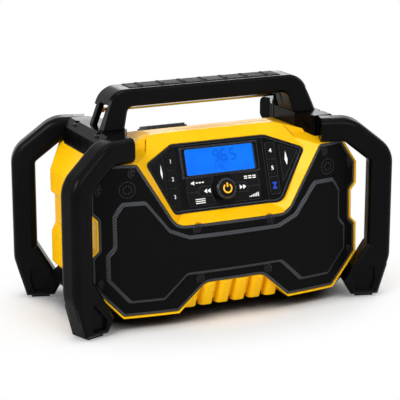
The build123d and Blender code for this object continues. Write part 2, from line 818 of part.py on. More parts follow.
def front_housing():
    outer, cavity = housing_shell()
    outer = outer & block(-REACH / 2, REACH / 2, -REACH / 2, SPLIT_Y, -1, REACH / 2)
    shell = outer - cavity
    for seat in (*speaker_seats(), *grille_screw_seats()):
        shell = shell + (seat & outer)
    for boss in cage_bosses():
        shell = shell + (boss & outer)
    bed = prism_y(grille_face(-GRILLE_CLEARANCE), -REACH / 6, 0)
    shell = shell - (bed - front_region(GRILLE_RECESS + GRILLE_SHEET))
    for cup in grille_cups(GRILLE_CLEARANCE):
        shell = shell - cup
    window = prism_y(panel_face(WINDOW_MARGIN), -REACH / 6, 0)
    window = window & panel_layer(-PANEL_SKIN - WALL * 3, REACH / 9)
    shell = shell - window
    for hole in speaker_openings():
        shell = shell - hole
    for screw in grille_screw_solids():
        shell = shell - screw
    for x, y in cage_screw_places():
        shell = shell - cage_screw(x, y)
    return shell


# ================================================================== grille
def grille_screw_solids():
    screws = []
    for x, z, y in grille_screw_places():
        head = rod_y(x, z, GRILLE_SCREW_HEAD, y - GRILLE_SCREW_RISE, y + GRILLE_SCREW_SINK)
        end = y + GRILLE_SCREW_LENGTH
        screws.append(head + rod_y(x, z, GRILLE_SCREW_SHANK, y + GRILLE_SCREW_SINK, end))
    return screws


def grille_cups(grow=0.0):
    """The flat-bottomed cups that sink the grille's screws into the housing."""
    radius = GRILLE_SCREW_DISH + GRILLE_CUP_WALL + grow
    for x, z, y in grille_screw_places():
        yield rod_y(x, z, radius, y - WALL * 2, y + GRILLE_SCREW_SINK + GRILLE_SHEET)


def grille():
    sheet_back = GRILLE_RECESS + GRILLE_SHEET
    sheet = prism_y(grille_face(), -REACH / 6, 0) & front_shell(GRILLE_RECESS, sheet_back)
    for i in range(DOME_STEPS):
        outline = prism_y(dome_face(DOME_SLOPE * i / DOME_STEPS), -REACH / 6, 0)
        rise = DOME_RISE * (i + 1) / DOME_STEPS
        sheet = sheet + (outline & front_shell(GRILLE_RECESS - rise, sheet_back))
    under = prism_y(dome_face(DOME_SLOPE + GRILLE_SHEET / 2), -REACH / 6, 0)
    sheet = sheet - (under & front_shell(GRILLE_RECESS - DOME_RISE + GRILLE_SHEET, WALL * 2))
    for cup in grille_cups():
        sheet = sheet + (cup & front_region(GRILLE_RECESS + GRILLE_SHEET / 2))
    for x, z, y in grille_screw_places():
        sheet = sheet - rod_y(x, z, GRILLE_SCREW_DISH, y - REACH / 9, y + GRILLE_SCREW_SINK)
    for screw in grille_screw_solids():
        sheet = sheet - screw
    return sheet


def grille_screws():
    return Compound(children=grille_screw_solids())


# ================================================================== panel
def cap(points, z0, z1, frame, grow=0.0):
    """A flat piece with the outline `points` in a panel frame, between two heights."""
    face = shrunk(polygon(points), -grow)
    return frame * (Pos(0, 0, z0) * extrude(face, amount=z1 - z0))


def rectangle(x, y, width, height):
    w, h = width / 2, height / 2
    return [(x - w, y - h), (x + w, y - h), (x + w, y + h), (x - w, y + h)]


def label_key(side, level):
    """Outline of one of the four keys round the seek keys."""
    notch_x = SEEK_OUTER + KEY_JOIN + SEEK_NOTCH_GAP
    notch_y = SEEK_HALF + KEY_JOIN
    points = [
        (LABEL_KEY_OUTER, KEY_JOIN / 2),
        (notch_x, KEY_JOIN / 2),
        (notch_x - KEY_SLANT, notch_y),
        (LABEL_KEY_INNER + LABEL_KEY_FOOT, notch_y),
        (LABEL_KEY_INNER - KEY_SLANT, LABEL_KEY_TOP),
        (LABEL_KEY_OUTER - KEY_SLANT, LABEL_KEY_TOP),
    ]
    return [(side * x, level * y) for x, y in points]


def seek_key(side):
    mid = SEEK_OUTER - KEY_SLANT
    points = [
        (SEEK_INNER, SEEK_HALF),
        (mid, SEEK_HALF),
        (SEEK_OUTER, SEEK_NOSE),
        (SEEK_OUTER, -SEEK_NOSE),
        (mid, -SEEK_HALF),
        (SEEK_INNER, -SEEK_HALF),
    ]
    return [(side * x, y) for x, y in points]


def column_key(side, row):
    y = COLUMN_BASE + row * COLUMN_PITCH
    return rectangle(side * COLUMN_X, y, COLUMN_WIDTH, COLUMN_PITCH - KEY_JOIN)


def wing_point(side, x, z):
    """Where the point of the wing's face at (x, z) lies in the wing's own directions."""
    at = Vector(x, wing_y(x, z), z) - RIGHT_WING.origin
    return side * at.dot(RIGHT_WING.x_dir), at.dot(RIGHT_WING.y_dir)


def rocker_outline(side):
    return [wing_point(side, x, z) for x, z in ROCKER_CORNERS]


KEYS = {
    "mute_key": (MIDDLE, label_key(-1, 1)),
    "menu_key": (MIDDLE, label_key(-1, -1)),
    "mode_key": (MIDDLE, label_key(1, 1)),
    "scan_key": (MIDDLE, label_key(1, -1)),
    "seek_back_key": (MIDDLE, seek_key(-1)),
    "seek_forward_key": (MIDDLE, seek_key(1)),
    "preset_key_1": (LEFT_WING, column_key(-1, 2)),
    "preset_key_2": (LEFT_WING, column_key(-1, 1)),
    "preset_key_3": (LEFT_WING, column_key(-1, 0)),
    "preset_key_4": (RIGHT_WING, column_key(1, 2)),
    "preset_key_5": (RIGHT_WING, column_key(1, 1)),
    "wireless_key": (RIGHT_WING, column_key(1, 0)),
}
ROCKERS = {
    "volume_rocker": (LEFT_WING, rocker_outline(-1)),
    "tuning_rocker": (RIGHT_WING, rocker_outline(1)),
}


def key(frame, outline):
    """A push key: its cap, and the flange that keeps it behind the panel."""
    flange_top = -PANEL_SKIN - KEY_FLANGE_GAP
    body = cap(outline, flange_top, KEY_PROUD, frame, -KEY_GAP)
    top = body.faces().sort_by(lambda f: (f.center() - frame.origin).dot(frame.z_dir))[-1]
    body = chamfer(top.edges(), KEY_BEVEL)
    flange_bottom = flange_top - KEY_FLANGE_THICKNESS
    return body + cap(outline, flange_bottom, flange_top, frame, KEY_FLANGE - KEY_GAP)


def fulcrum(outline):
    """Height on the wing of the line that a rocker tips about."""
    heights = [y for x, y in outline]
    return (max(heights) + min(heights)) / 2 + ROCKER_FULCRUM_RISE


def rocker(frame, outline):
    """A rocking key, tipping on a half-round ridge behind the panel."""
    flange_top = -PANEL_SKIN - ROCKER_TRAVEL_GAP
    body = cap(outline, flange_top, KEY_PROUD, frame, -ROCKER_GAP)
    top = body.faces().sort_by(lambda f: (f.center() - frame.origin).dot(frame.z_dir))[-1]
    body = chamfer(top.edges(), KEY_BEVEL)
    flange_bottom = flange_top - KEY_FLANGE_THICKNESS
    body = body + cap(outline, flange_bottom, flange_top, frame, KEY_FLANGE - ROCKER_GAP)
    y = fulcrum(outline)
    inner = min((x for x, _ in outline), key=abs)
    outer = max((x for x, _ in outline), key=abs)
    reach = inner + (outer - inner) * 0.5
    ridge_z = -PANEL_SKIN - KEY_FLANGE_GAP - FULCRUM_RADIUS
    ridge = rod_x(y, ridge_z, FULCRUM_RADIUS, min(inner, reach), max(inner, reach))
    return body + frame * ridge


def panel_bezel():
    """The folded control panel, with its rim, key holes, display window and board posts."""
    outer = prism_y(panel_face(), -REACH / 6, 0)
    inner = prism_y(panel_face(PANEL_RIM), -REACH / 6, 0)
    body = outer & panel_layer(-PANEL_SKIN, 0)
    body = body + ((outer - inner) & panel_layer(-PANEL_SKIN, PANEL_RIM_HEIGHT)) + display_frame()
    low, high = -PANEL_SKIN - 1, PANEL_RIM_HEIGHT + 1
    for frame, outline in (*KEYS.values(), *ROCKERS.values()):
        body = body - cap(outline, low, high, frame)
    body = body - MIDDLE * Pos(0, 0, low) * Cylinder(POWER_RING_BORE, high - low, align=ON_END)
    body = body - display(0.0, low, high)
    body = body - display(LENS_LAP, low, -LENS_REST)
    for x in (-POST_X, POST_X):
        for y in POST_Y:
            post = Cylinder(POST_RADIUS, BOARD_DEPTH - PANEL_SKIN, align=ON_END)
            body = body + MIDDLE * Pos(x, y, -BOARD_DEPTH) * post
    return body


def display(grow, z0, z1):
    """A block of the display window's size, grown by `grow` all round."""
    x = LCD_HALF + grow
    window = block(-x, x, LCD_BOTTOM - grow, LCD_TOP + grow, z0, z1)
    return MIDDLE * fillet(window.edges().filter_by(Axis.Z), LCD_CORNER + grow)


def display_frame():
    """The raised border round the display window, bevelled on its outside."""
    half = LCD_HALF + FRAME_BORDER
    bottom = LCD_BOTTOM - FRAME_BORDER_FOOT
    top = LCD_TOP + FRAME_BORDER_FOOT
    frame = block(-half, half, bottom, top, -PANEL_SKIN, FRAME_RISE)
    frame = chamfer(frame.edges().group_by(Axis.Z)[-1], FRAME_BEVEL)
    return MIDDLE * frame


def lcd_lens():
    return display(LENS_LAP, -LENS_REST - LENS_THICKNESS, -LENS_REST)


def lcd_module():
    glass = display(LENS_LAP, -PANEL_SKIN, -LENS_REST - LENS_THICKNESS)
    return glass + display(LENS_LAP + MODULE_MARGIN, -PANEL_SKIN - MODULE_DEPTH, -PANEL_SKIN)


def power_ring():
    ring = Cylinder(POWER_RING_RADIUS, POWER_RING_HEIGHT, align=ON_END)
    ring = chamfer(ring.edges().group_by(Axis.Z)[-1], POWER_RING_BEVEL)
    return MIDDLE * (ring - Cylinder(POWER_RING_BORE, POWER_RING_HEIGHT, align=ON_END))


def power_button():
    bottom = -PANEL_SKIN - KEY_FLANGE_GAP
    button = Pos(0, 0, bottom) * Cylinder(
        POWER_BUTTON_RADIUS, POWER_BUTTON_HEIGHT - bottom, align=ON_END
    )
    button = fillet(button.edges().group_by(Axis.Z)[-1], POWER_DOME)
    flange = Cylinder(POWER_RING_BORE + KEY_FLANGE, KEY_FLANGE_THICKNESS, align=ON_END)
    return MIDDLE * (button + Pos(0, 0, bottom - KEY_FLANGE_THICKNESS) * flange)


def control_board():
    """The folded board behind the panel, with a switch under each key."""
    outline = prism_y(panel_face(BOARD_MARGIN), -REACH / 6, 0)
    board = outline & panel_layer(-BOARD_DEPTH - BOARD_THICKNESS, -BOARD_DEPTH)
    top = -PANEL_SKIN - KEY_FLANGE_GAP - KEY_FLANGE_THICKNESS - SWITCH_GAP
    places = [(MIDDLE, 0, 0, top)]
    for frame, outline in KEYS.values():
        xs = [x for x, _ in outline]
        ys = [y for _, y in outline]
        places.append((frame, (min(xs) + max(xs)) / 2, (min(ys) + max(ys)) / 2, top))
    top = -PANEL_SKIN - ROCKER_TRAVEL_GAP - KEY_FLANGE_THICKNESS - ROCKER_SWITCH_GAP
    for frame, outline in ROCKERS.values():
        inner = min((x for x, _ in outline), key=abs)
        x = inner + math.copysign(SWITCH_INSET, inner)
        for y in (fulcrum(outline) - ROCKER_SWITCH_REACH, fulcrum(outline) + ROCKER_SWITCH_REACH):
            places.append((frame, x, y, top))
    half = SWITCH_SIZE / 2
    for frame, x, y, top in places:
        board = board + block(x - half, x + half, y - half, y + half, -BOARD_DEPTH, top, frame)
    return board


# ================================================================== speakers
def speaker_frame(side):
    flange = FLANGE_THICKNESS
    rim = CONE_RADIUS + BASKET_RIM
    neck = MAGNET_RADIUS - BASKET_SKIN
    deep = flange + BASKET_DEPTH
    profile = [
        (rim, 0),
        (SPEAKER_RADIUS, 0),
        (SPEAKER_RADIUS, flange),
        (rim + BASKET_SKIN, flange),
        (neck, deep),
        (MAGNET_RADIUS, deep),
        (MAGNET_RADIUS, deep + MAGNET_DEPTH),
        (0, deep + MAGNET_DEPTH),
        (0, deep),
        (neck - BASKET_SKIN, deep - BASKET_SKIN),
        (rim, flange - CONE_LIFT),
    ]
    return turned(profile, side * SPEAKER_X, SPEAKER_SEAT, SPEAKER_Z)


def speaker_cone(side):
    rim = CONE_RADIUS + BASKET_RIM
    roll = CONE_RADIUS - CONE_ROLL
    neck = BASKET_DEPTH - FLANGE_THICKNESS
    coil = COIL_RADIUS - CONE_SKIN
    cap_top = BASKET_DEPTH - CAP_DEPTH - CONE_SKIN
    profile = [
        (rim, CONE_LIFT),
        (rim, CONE_LIFT + CONE_SKIN),
        (roll, CONE_LIFT + 2 * CONE_SKIN),
        (COIL_RADIUS, neck),
        (COIL_RADIUS, BASKET_DEPTH),
        (coil, BASKET_DEPTH),
        (coil, neck - CONE_SKIN),
        (0, cap_top + CONE_SKIN),
        (0, cap_top),
        (COIL_RADIUS, neck - FLANGE_THICKNESS),
        (roll, CONE_SKIN),
        (roll + CONE_SKIN, CONE_LIFT),
    ]
    return turned(profile, side * SPEAKER_X, SPEAKER_SEAT, SPEAKER_Z)


def tweeter(side):
    rim = TWEETER_RADIUS
    profile = [
        (0, TWEETER_DISH),
        (TWEETER_HOLE - TWEETER_DISH, TWEETER_DISH / 2),
        (TWEETER_HOLE, 0),
        (rim, 0),
        (rim, TWEETER_FLANGE),
        (rim - TWEETER_FLANGE, TWEETER_FLANGE),
        (rim - TWEETER_FLANGE, TWEETER_DEPTH),
        (0, TWEETER_DEPTH),
    ]
    return turned(profile, side * TWEETER_X, TWEETER_SEAT, TWEETER_Z)


# ================================================================== roll cage
FLARE = math.radians(CAGE_FLARE)
CAGE_PLANE = Plane(
    origin=(SEAM_X, -SEAM_Y, 0),
    x_dir=(math.cos(FLARE), -math.sin(FLARE), 0),
    z_dir=(-math.sin(FLARE), -math.cos(FLARE), 0),
)


def tube_section():
    return RectangleRounded(TUBE_DEPTH, TUBE_WIDTH, TUBE_ROUND)


def upright_s():
    """Distance of the upright's axis from the seam, along the flared plane."""
    flat = math.sin(FLARE) * (TUBE_DEPTH / 2 - TUBE_ROUND)
    reach = (CAGE_HALF - SEAM_X - TUBE_ROUND - flat) / math.cos(FLARE)
    return reach - (TUBE_WIDTH / 2 - TUBE_ROUND)


def corner_tube():
    """The front right corner tube, with its foot, before it is fitted to the housing."""
    s = upright_s()
    outer_s = s + TUBE_WIDTH / 2
    inner_s = s - TUBE_WIDTH / 2
    lean = (outer_s - FOOT_OUTER_S) / (TUBE_KNEE_Z - FOOT_PAD)
    end_z = (TUBE_KNEE_Z + FOOT_PAD) / 2
    path = FilletPolyline(
        (0, TUBE_TOP_Z),
        (TUBE_BEND_S, TUBE_TOP_Z),
        (s, TUBE_SHOULDER_Z),
        (s, TUBE_KNEE_Z),
        (s - lean * (TUBE_KNEE_Z - end_z), end_z),
        radius=[TOP_BEND_RADIUS, SHOULDER_BEND_RADIUS, SHOULDER_BEND_RADIUS],
    )
    start = Plane(origin=(0, TUBE_TOP_Z, 0), x_dir=(0, 0, 1), z_dir=(1, 0, 0))
    tube = sweep(start * tube_section(), path=path)
    knee_z = end_z + (TUBE_KNEE_Z - end_z) / 2
    foot = polygon(
        [
            (inner_s, FOOT_BRACE_Z),
            (s, FOOT_BRACE_Z),
            (outer_s - lean * (TUBE_KNEE_Z - knee_z), knee_z),
            (FOOT_OUTER_S, FOOT_PAD),
            (FOOT_INNER_S, FOOT_PAD),
            (FOOT_HEEL_S, FOOT_HEEL_Z),
        ]
    )
    foot = Pos(0, 0, -TUBE_DEPTH / 2) * extrude(foot, amount=TUBE_DEPTH)
    rims = foot.edges().filter_by(lambda e: abs(e.tangent_at(0.5).Z) < 0.1)
    foot = chamfer(rims, FOOT_CHAMFER)
    outline = fillet(polygon(FOOT_POCKET).vertices(), FOOT_POCKET_CORNER)
    floor = TUBE_DEPTH / 2 - FOOT_POCKET_DEPTH
    pocket = Pos(0, 0, floor) * extrude(outline, amount=TUBE_DEPTH)
    return CAGE_PLANE * (tube + foot - pocket - pocket.mirror(Plane.XY))


def foot_pad():
    inset = FOOT_PAD_INSET + FOOT_CHAMFER
    depth = TUBE_DEPTH / 2 - inset
    s0, s1 = FOOT_INNER_S + inset, FOOT_OUTER_S - inset
    return CAGE_PLANE * block(s0, s1, 0, FOOT_PAD, -depth, depth)


def four_corners(shape):
    return {
        "front_right": shape,
        "front_left": left_of(shape),
        "rear_right": rear_of(shape),
        "rear_left": rear_of(left_of(shape)),
    }


def lower_rail():
    """The rail along one end, seated on the housing's lower corner between two feet."""
    run = Vector(BODY_HALF - CORNER_X, CORNER_Z - BODY_FLOOR).normalized()
    out = Vector(run.Y, -run.X)
    corner = Vector(CORNER_X, BODY_FLOOR)
    ends = [corner + run * RAIL_START, corner + run * RAIL_END]
    points = [ends[0], ends[1], ends[1] + out * RAIL_THICKNESS, ends[0] + out * RAIL_THICKNESS]
    face = polygon([(p.X, p.Y) for p in points])
    outside = face.vertices().sort_by(lambda v: (Vector(v.X, v.Y) - corner).dot(out))[-2:]
    face = fillet(outside, RAIL_ROUND)
    rail = prism_y(face, -SEAM_Y - TUBE_DEPTH, SEAM_Y + TUBE_DEPTH)
    back = CAGE_PLANE.from_local_coords((0, 0, -TUBE_DEPTH / 2))
    inward = CAGE_PLANE.z_dir * -1
    front = beyond(tuple(back), tuple(inward))
    return rail & front & rear_of(front)


def yoke():
    """The right-hand yoke: a beam on the shoulder, with a nose at each end for a tube."""
    plan = polygon(
        [
            (YOKE_INNER, -YOKE_STRAIGHT),
            (YOKE_INNER + YOKE_TAPER, -YOKE_HALF_LENGTH),
            (YOKE_OUTER, -YOKE_HALF_LENGTH),
            (YOKE_OUTER, YOKE_HALF_LENGTH),
            (YOKE_INNER + YOKE_TAPER, YOKE_HALF_LENGTH),
            (YOKE_INNER, YOKE_STRAIGHT),
        ]
    )
    beam = Pos(0, 0, YOKE_BASE) * extrude(plan, amount=YOKE_TOP - YOKE_BASE)
    top_edges = beam.edges().group_by(Axis.Z)[-1].filter_by(Axis.Y)
    beam = chamfer(top_edges.sort_by(Axis.X)[-1], YOKE_CHAMFER)
    start = Plane(origin=(-NOSE_LENGTH, TUBE_TOP_Z, 0), x_dir=(0, 0, 1), z_dir=(1, 0, 0))
    nose = extrude(start * tube_section(), amount=NOSE_LENGTH)
    nose = CAGE_PLANE * nose
    body = beam + nose + rear_of(nose) - body_block()
    for side in (1, -1):
        y = side * YOKE_DIMPLE_Y
        dimple = rod_z(
            YOKE_DIMPLE_X, y, YOKE_DIMPLE_RADIUS, YOKE_TOP - YOKE_DIMPLE_DEPTH, YOKE_TOP + 1
        )
        body = body - dimple - cage_screw(YOKE_DIMPLE_X, y)
    return body


def cage_screw(x, y):
    floor = YOKE_TOP - YOKE_DIMPLE_DEPTH
    head = rod_z(x, y, CAGE_SCREW_HEAD, floor, floor + CAGE_SCREW_HEAD_HEIGHT)
    return head + rod_z(x, y, CAGE_SCREW_SHANK, floor - CAGE_SCREW_LENGTH, floor)


def cage_screw_places():
    for side in (1, -1):
        for end in (1, -1):
            yield side * YOKE_DIMPLE_X, end * YOKE_DIMPLE_Y


def cage_bosses():
    """Posts inside the shoulders that take the cage screws."""
    bosses = []
    end = YOKE_TOP - YOKE_DIMPLE_DEPTH - CAGE_SCREW_LENGTH
    for x, y in cage_screw_places():
        boss = rod_z(x, y, CAGE_BOSS_RADIUS, end - WALL, YOKE_TOP)
        bosses.append(boss & body_block())
    return bosses


# ================================================================== handle
def handle_face():
    right = [
        (HANDLE_TOP_X, HANDLE_TOP),
        (HANDLE_FOOT, YOKE_TOP),
        (LEG_INNER_FOOT, YOKE_TOP),
        (LEG_INNER_TOP, GRIP_BOTTOM),
    ]
    face = both_sides(right)
    for level, radius in ((HANDLE_TOP, HANDLE_ARC), (GRIP_BOTTOM, GRIP_ARC)):
        face = fillet([v for v in face.vertices() if abs(v.Y - level) < HANDLE_BEVEL], radius)
    return face


def leg_x(z):
    """Where the outside of the handle's leg is at height z."""
    return HANDLE_FOOT - (HANDLE_FOOT - HANDLE_TOP_X) * (z - YOKE_TOP) / HANDLE_RISE


def handle_screw_solids():
    floor = HANDLE_BACK - HANDLE_SCREW_SINK
    screws = []
    for x in HANDLE_SCREW_X:
        top = floor + HANDLE_SCREW_HEAD_HEIGHT
        head = rod_y(x, HANDLE_SCREW_Z, HANDLE_SCREW_HEAD, floor, top)
        end = floor - HANDLE_SCREW_LENGTH
        screws.append(head + rod_y(x, HANDLE_SCREW_Z, HANDLE_SCREW_SHANK, end, floor))
    return screws


def grip_bed():
    return block(
        -GRIP_HALF, GRIP_HALF, GRIP_FRONT, GRIP_BACK, HANDLE_TOP - GRIP_SINK, HANDLE_TOP + 9
    )


def antenna_rest():
    """The shelf behind the left leg that carries the folded antenna."""
    top = ANTENNA_Z - WHIP_RADII[0] - SWIVEL_GAP
    back = ANTENNA_Y + REST_REACH
    x0 = REST_X - REST_WIDTH
    return block(x0, REST_X, LEG_WALL_BACK - 1, back, top - REST_THICKNESS, top)


def handle_front():
    lean = (0, YOKE_TOP - HANDLE_TOP, HANDLE_FRONT_TOP - HANDLE_FRONT)
    body = prism_y(handle_face(), HANDLE_FRONT, 0) - beyond((0, HANDLE_FRONT, YOKE_TOP), lean)
    front = [e for e in body.edges() if on_lean(e)]
    body = chamfer(front, HANDLE_BEVEL)
    for side in (1, -1):
        pocket = [
            (LEG_INNER_FOOT + LEG_INNER_SKIN, YOKE_TOP - 1),
            (LEG_INNER_TOP + LEG_INNER_SKIN, GRIP_BOTTOM - LEG_WALL_GAP),
            (HANDLE_TOP_X - LEG_INNER_SKIN, GRIP_BOTTOM + LEG_POCKET_RISE),
            (HANDLE_FOOT + 9, GRIP_BOTTOM + LEG_POCKET_RISE),
            (HANDLE_FOOT + 9, YOKE_TOP - 1),
        ]
        pocket = polygon([(side * x, z) for x, z in pocket])
        body = body - prism_y(pocket, HANDLE_FRONT + LEG_FRONT_SKIN, 1)
        wall = [
            (LEG_INNER_FOOT, YOKE_TOP),
            (LEG_INNER_TOP, GRIP_BOTTOM - LEG_WALL_GAP),
            (LEG_INNER_TOP + LEG_INNER_SKIN, GRIP_BOTTOM - LEG_WALL_GAP),
            (LEG_INNER_FOOT + LEG_INNER_SKIN, YOKE_TOP),
        ]
        wall = polygon([(side * x, z) for x, z in wall])
        body = body + prism_y(wall, -1, LEG_WALL_BACK)
    body = body + antenna_rest() - grip_bed()
    for screw in handle_screw_solids():
        body = body - screw
    return body


def on_lean(edge):
    """Whether an edge lies in the handle's leaning front face, clear of its feet."""
    slope = (HANDLE_FRONT_TOP - HANDLE_FRONT) / (HANDLE_TOP - YOKE_TOP)
    middle = edge.center()
    front = HANDLE_FRONT + slope * (middle.Z - YOKE_TOP)
    return abs(middle.Y - front) < 0.05 and middle.Z > YOKE_TOP + 0.5


def rear_bar_face():
    face = both_sides([(HANDLE_TOP_X, HANDLE_TOP), (leg_x(GRIP_BOTTOM), GRIP_BOTTOM)])
    return fillet([v for v in face.vertices() if v.Y > GRIP_BOTTOM + 1], HANDLE_ARC)


def handle_rear():
    bar = prism_y(rear_bar_face(), 0, HANDLE_BACK)
    back = [e for e in bar.edges() if e.center().Y > HANDLE_BACK - 0.05]
    bar = chamfer([e for e in back if e.center().Z > GRIP_BOTTOM + 0.5], HANDLE_BEVEL)
    for side in (1, -1):
        outer_foot = HANDLE_FOOT - STRIP_INSET
        outer_top = leg_x(STRIP_TOP) - STRIP_INSET
        strip = [
            (outer_foot, YOKE_TOP),
            (outer_top, STRIP_TOP),
            (outer_top - STRIP_WIDTH, STRIP_TOP),
            (outer_foot - STRIP_WIDTH, YOKE_TOP),
        ]
        bar = bar + prism_y(polygon([(side * x, z) for x, z in strip]), STRIP_FRONT, STRIP_BACK)
    bar = bar - grip_bed()
    floor = HANDLE_BACK - HANDLE_SCREW_SINK
    for x in HANDLE_SCREW_X:
        bar = bar - rod_y(x, HANDLE_SCREW_Z, HANDLE_SCREW_HEAD + 0.2, floor, HANDLE_BACK + 1)
    for screw in handle_screw_solids():
        bar = bar - screw
    return bar


def handle_grip():
    """The soft strip along the top of the bar, with its cross ribs."""
    top = HANDLE_TOP + GRIP_RISE
    grip = block(-GRIP_HALF, GRIP_HALF, GRIP_FRONT, GRIP_BACK, HANDLE_TOP - GRIP_SINK, top)
    grip = chamfer(grip.edges().group_by(Axis.Z)[-1], GRIP_BEVEL)
    y0, y1 = GRIP_FRONT + TICK_INSET, GRIP_BACK - TICK_INSET
    for i in range(TICK_COUNT):
        x = (i - (TICK_COUNT - 1) / 2) * TICK_PITCH
        half = TICK_WIDTH / 2
        rib = block(x - half, x + half, y0, y1, HANDLE_TOP, top + TICK_RISE)
        grip = grip + chamfer(rib.edges().group_by(Axis.Z)[-1], TICK_BEVEL)
    return grip


# ================================================================== antenna
def antenna_post(bored=True):
    """The post that the antenna turns on; unbored, the space that it takes up."""
    post = rod_z(
        ANTENNA_X, ANTENNA_Y, ANTENNA_POST_RADIUS, ANTENNA_POST_BOTTOM, ANTENNA_POST_TOP
    )
    if not bored:
        return post
    bore_floor = ANTENNA_POST_TOP - SWIVEL_PIN_DEPTH - SWIVEL_GAP
    bore = SWIVEL_PIN_RADIUS + RUNNING_CLEARANCE
    post = post - rod_z(ANTENNA_X, ANTENNA_Y, bore, bore_floor, ANTENNA_POST_TOP + 1)
    return post - body_block()


def antenna_swivel():
    low = ANTENNA_POST_TOP + SWIVEL_GAP
    x, y, r = ANTENNA_X, ANTENNA_Y, ELBOW_RADIUS
    body = rod_z(x, y, ANTENNA_POST_RADIUS - 0.8, low, low + SWIVEL_DISC)
    body = body + rod_z(x, y, SWIVEL_PIN_RADIUS, ANTENNA_POST_TOP - SWIVEL_PIN_DEPTH, low + 1)
    inner = ELBOW_HALF_WIDTH + SWIVEL_GAP
    for y0 in (y + inner, y - inner - ELBOW_EAR):
        ear = block(x - r, x + r, y0, y0 + ELBOW_EAR, low, ANTENNA_Z)
        ear = ear + rod_y(x, ANTENNA_Z, r, y0, y0 + ELBOW_EAR)
        body = body + ear
    return body + rod_y(x, ANTENNA_Z, ELBOW_PIN_RADIUS, y - inner, y + inner)


def antenna_outer_tube():
    x, y, z = ANTENNA_X, ANTENNA_Y, ANTENNA_Z
    radius = WHIP_RADII[0]
    start = x - ELBOW_RADIUS - WHIP_NECK
    y0, y1 = y - ELBOW_HALF_WIDTH, y + ELBOW_HALF_WIDTH
    half = WHIP_NECK_HALF
    eye = rod_y(x, z, ELBOW_RADIUS, y0, y1)
    neck = block(start - half, x, y0, y1, z - half, z + half)
    body = eye + neck + rod_x(y, z, radius, WHIP_END_X, start)
    body = body - rod_y(x, z, ELBOW_PIN_RADIUS + RUNNING_CLEARANCE, y0 - 1, y1 + 1)
    bore = WHIP_RADII[1] + RUNNING_CLEARANCE
    return body - rod_x(y, z, bore, WHIP_END_X - 1, start - WHIP_STEP)


def antenna_middle_tube():
    end = WHIP_END_X - WHIP_STEP
    start = ANTENNA_X - ELBOW_RADIUS - 2 * WHIP_NECK - WHIP_STEP
    tube = rod_x(ANTENNA_Y, ANTENNA_Z, WHIP_RADII[1], end, start)
    bore = WHIP_RADII[2] + RUNNING_CLEARANCE
    return tube - rod_x(ANTENNA_Y, ANTENNA_Z, bore, end - 1, start - WHIP_STEP)


def antenna_inner_rod():
    end = WHIP_END_X - 2 * WHIP_STEP
    start = ANTENNA_X - ELBOW_RADIUS - 3 * WHIP_NECK - 2 * WHIP_STEP
    return rod_x(ANTENNA_Y, ANTENNA_Z, WHIP_RADII[2], end, start)


def antenna_tip():
    ball_x = WHIP_END_X - 2 * WHIP_STEP - TIP_RADIUS + 1
    ball = Pos(ball_x, ANTENNA_Y, ANTENNA_Z) * Sphere(TIP_RADIUS)
    socket = WHIP_RADII[2] + RUNNING_CLEARANCE
    end = WHIP_END_X - 2 * WHIP_STEP - RUNNING_CLEARANCE
    return ball - rod_x(ANTENNA_Y, ANTENNA_Z, socket, end, end + TIP_RADIUS)


# ================================================================== rear
def vent_bed():
    end = VENT_FROM_RIDGE + VENT_LENGTH
    return block(VENT_X0, VENT_X1, VENT_FROM_RIDGE, end, -VENT_SINK, 9, rear_roof())


def roof_vent():
    y0, y1 = VENT_FROM_RIDGE, VENT_FROM_RIDGE + VENT_LENGTH
    vent = block(VENT_X0, VENT_X1, y0, y1, -VENT_SINK, VENT_RISE)
    pitch = (VENT_X1 - VENT_X0) / VENT_RIBS
    for i in range(VENT_RIBS):
        x = VENT_X0 + pitch * (i + 0.5)
        half = VENT_RIB_WIDTH / 2
        rib = block(x - half, x + half, y0, y1, VENT_RISE - 1, VENT_RISE + VENT_RIB_RISE)
        vent = vent + chamfer(rib.edges().group_by(Axis.Z)[-1], VENT_RIB_BEVEL)
    return rear_roof() * vent


def bay_block(grow, y0, y1):
    return block(-BAY_HALF - grow, BAY_HALF + grow, y0, y1, BAY_Z0 - grow, BAY_Z1 + grow)


def battery_bay():
    """The open tray in the back that a battery pack slides into."""
    floor = REAR_Y - BAY_DEPTH
    back = REAR_Y + BAY_FLANGE_THICKNESS
    tray = bay_block(0, floor, back) + bay_block(BAY_FLANGE, REAR_Y, back)
    tray = tray - bay_block(-BAY_SKIN, floor + BAY_SKIN, back + 1)
    rail_y = REAR_Y - BAY_RAIL_FROM_FACE
    for side in (1, -1):
        wall = side * (BAY_HALF - BAY_SKIN)
        tip = wall - side * BAY_RAIL_HEIGHT
        x0, x1 = min(wall, tip), max(wall, tip)
        z0, z1 = BAY_Z0 + BAY_SKIN, BAY_Z1 - BAY_SKIN
        tray = tray + block(x0, x1, rail_y - BAY_RAIL_DEPTH, rail_y, z0, z1)
    return tray


def battery_terminals():
    floor = REAR_Y - BAY_DEPTH + BAY_SKIN
    z = (BAY_Z0 + BAY_Z1) / 2
    half = TERMINAL_HEIGHT / 2
    top = floor + TERMINAL_DEPTH
    body = block(-TERMINAL_HALF, TERMINAL_HALF, floor, top, z - half, z + half)
    for i in (-1, 0, 1):
        x = i * BLADE_PITCH
        thick = BLADE_THICKNESS / 2
        high = BLADE_HALF_HEIGHT
        body = body + block(
            x - thick, x + thick, floor, top + BLADE_LENGTH / 2, z - high, z + high
        )
    return body


def aux_jack(solid=False):
    body = rod_y(PORT_X, AUX_Z, AUX_BODY_RADIUS, REAR_Y - AUX_LENGTH, REAR_Y)
    if solid:
        return body
    floor = REAR_Y - AUX_LENGTH + SOCKET_FLOOR
    return body - rod_y(PORT_X, AUX_Z, AUX_BORE, floor, REAR_Y + 1)


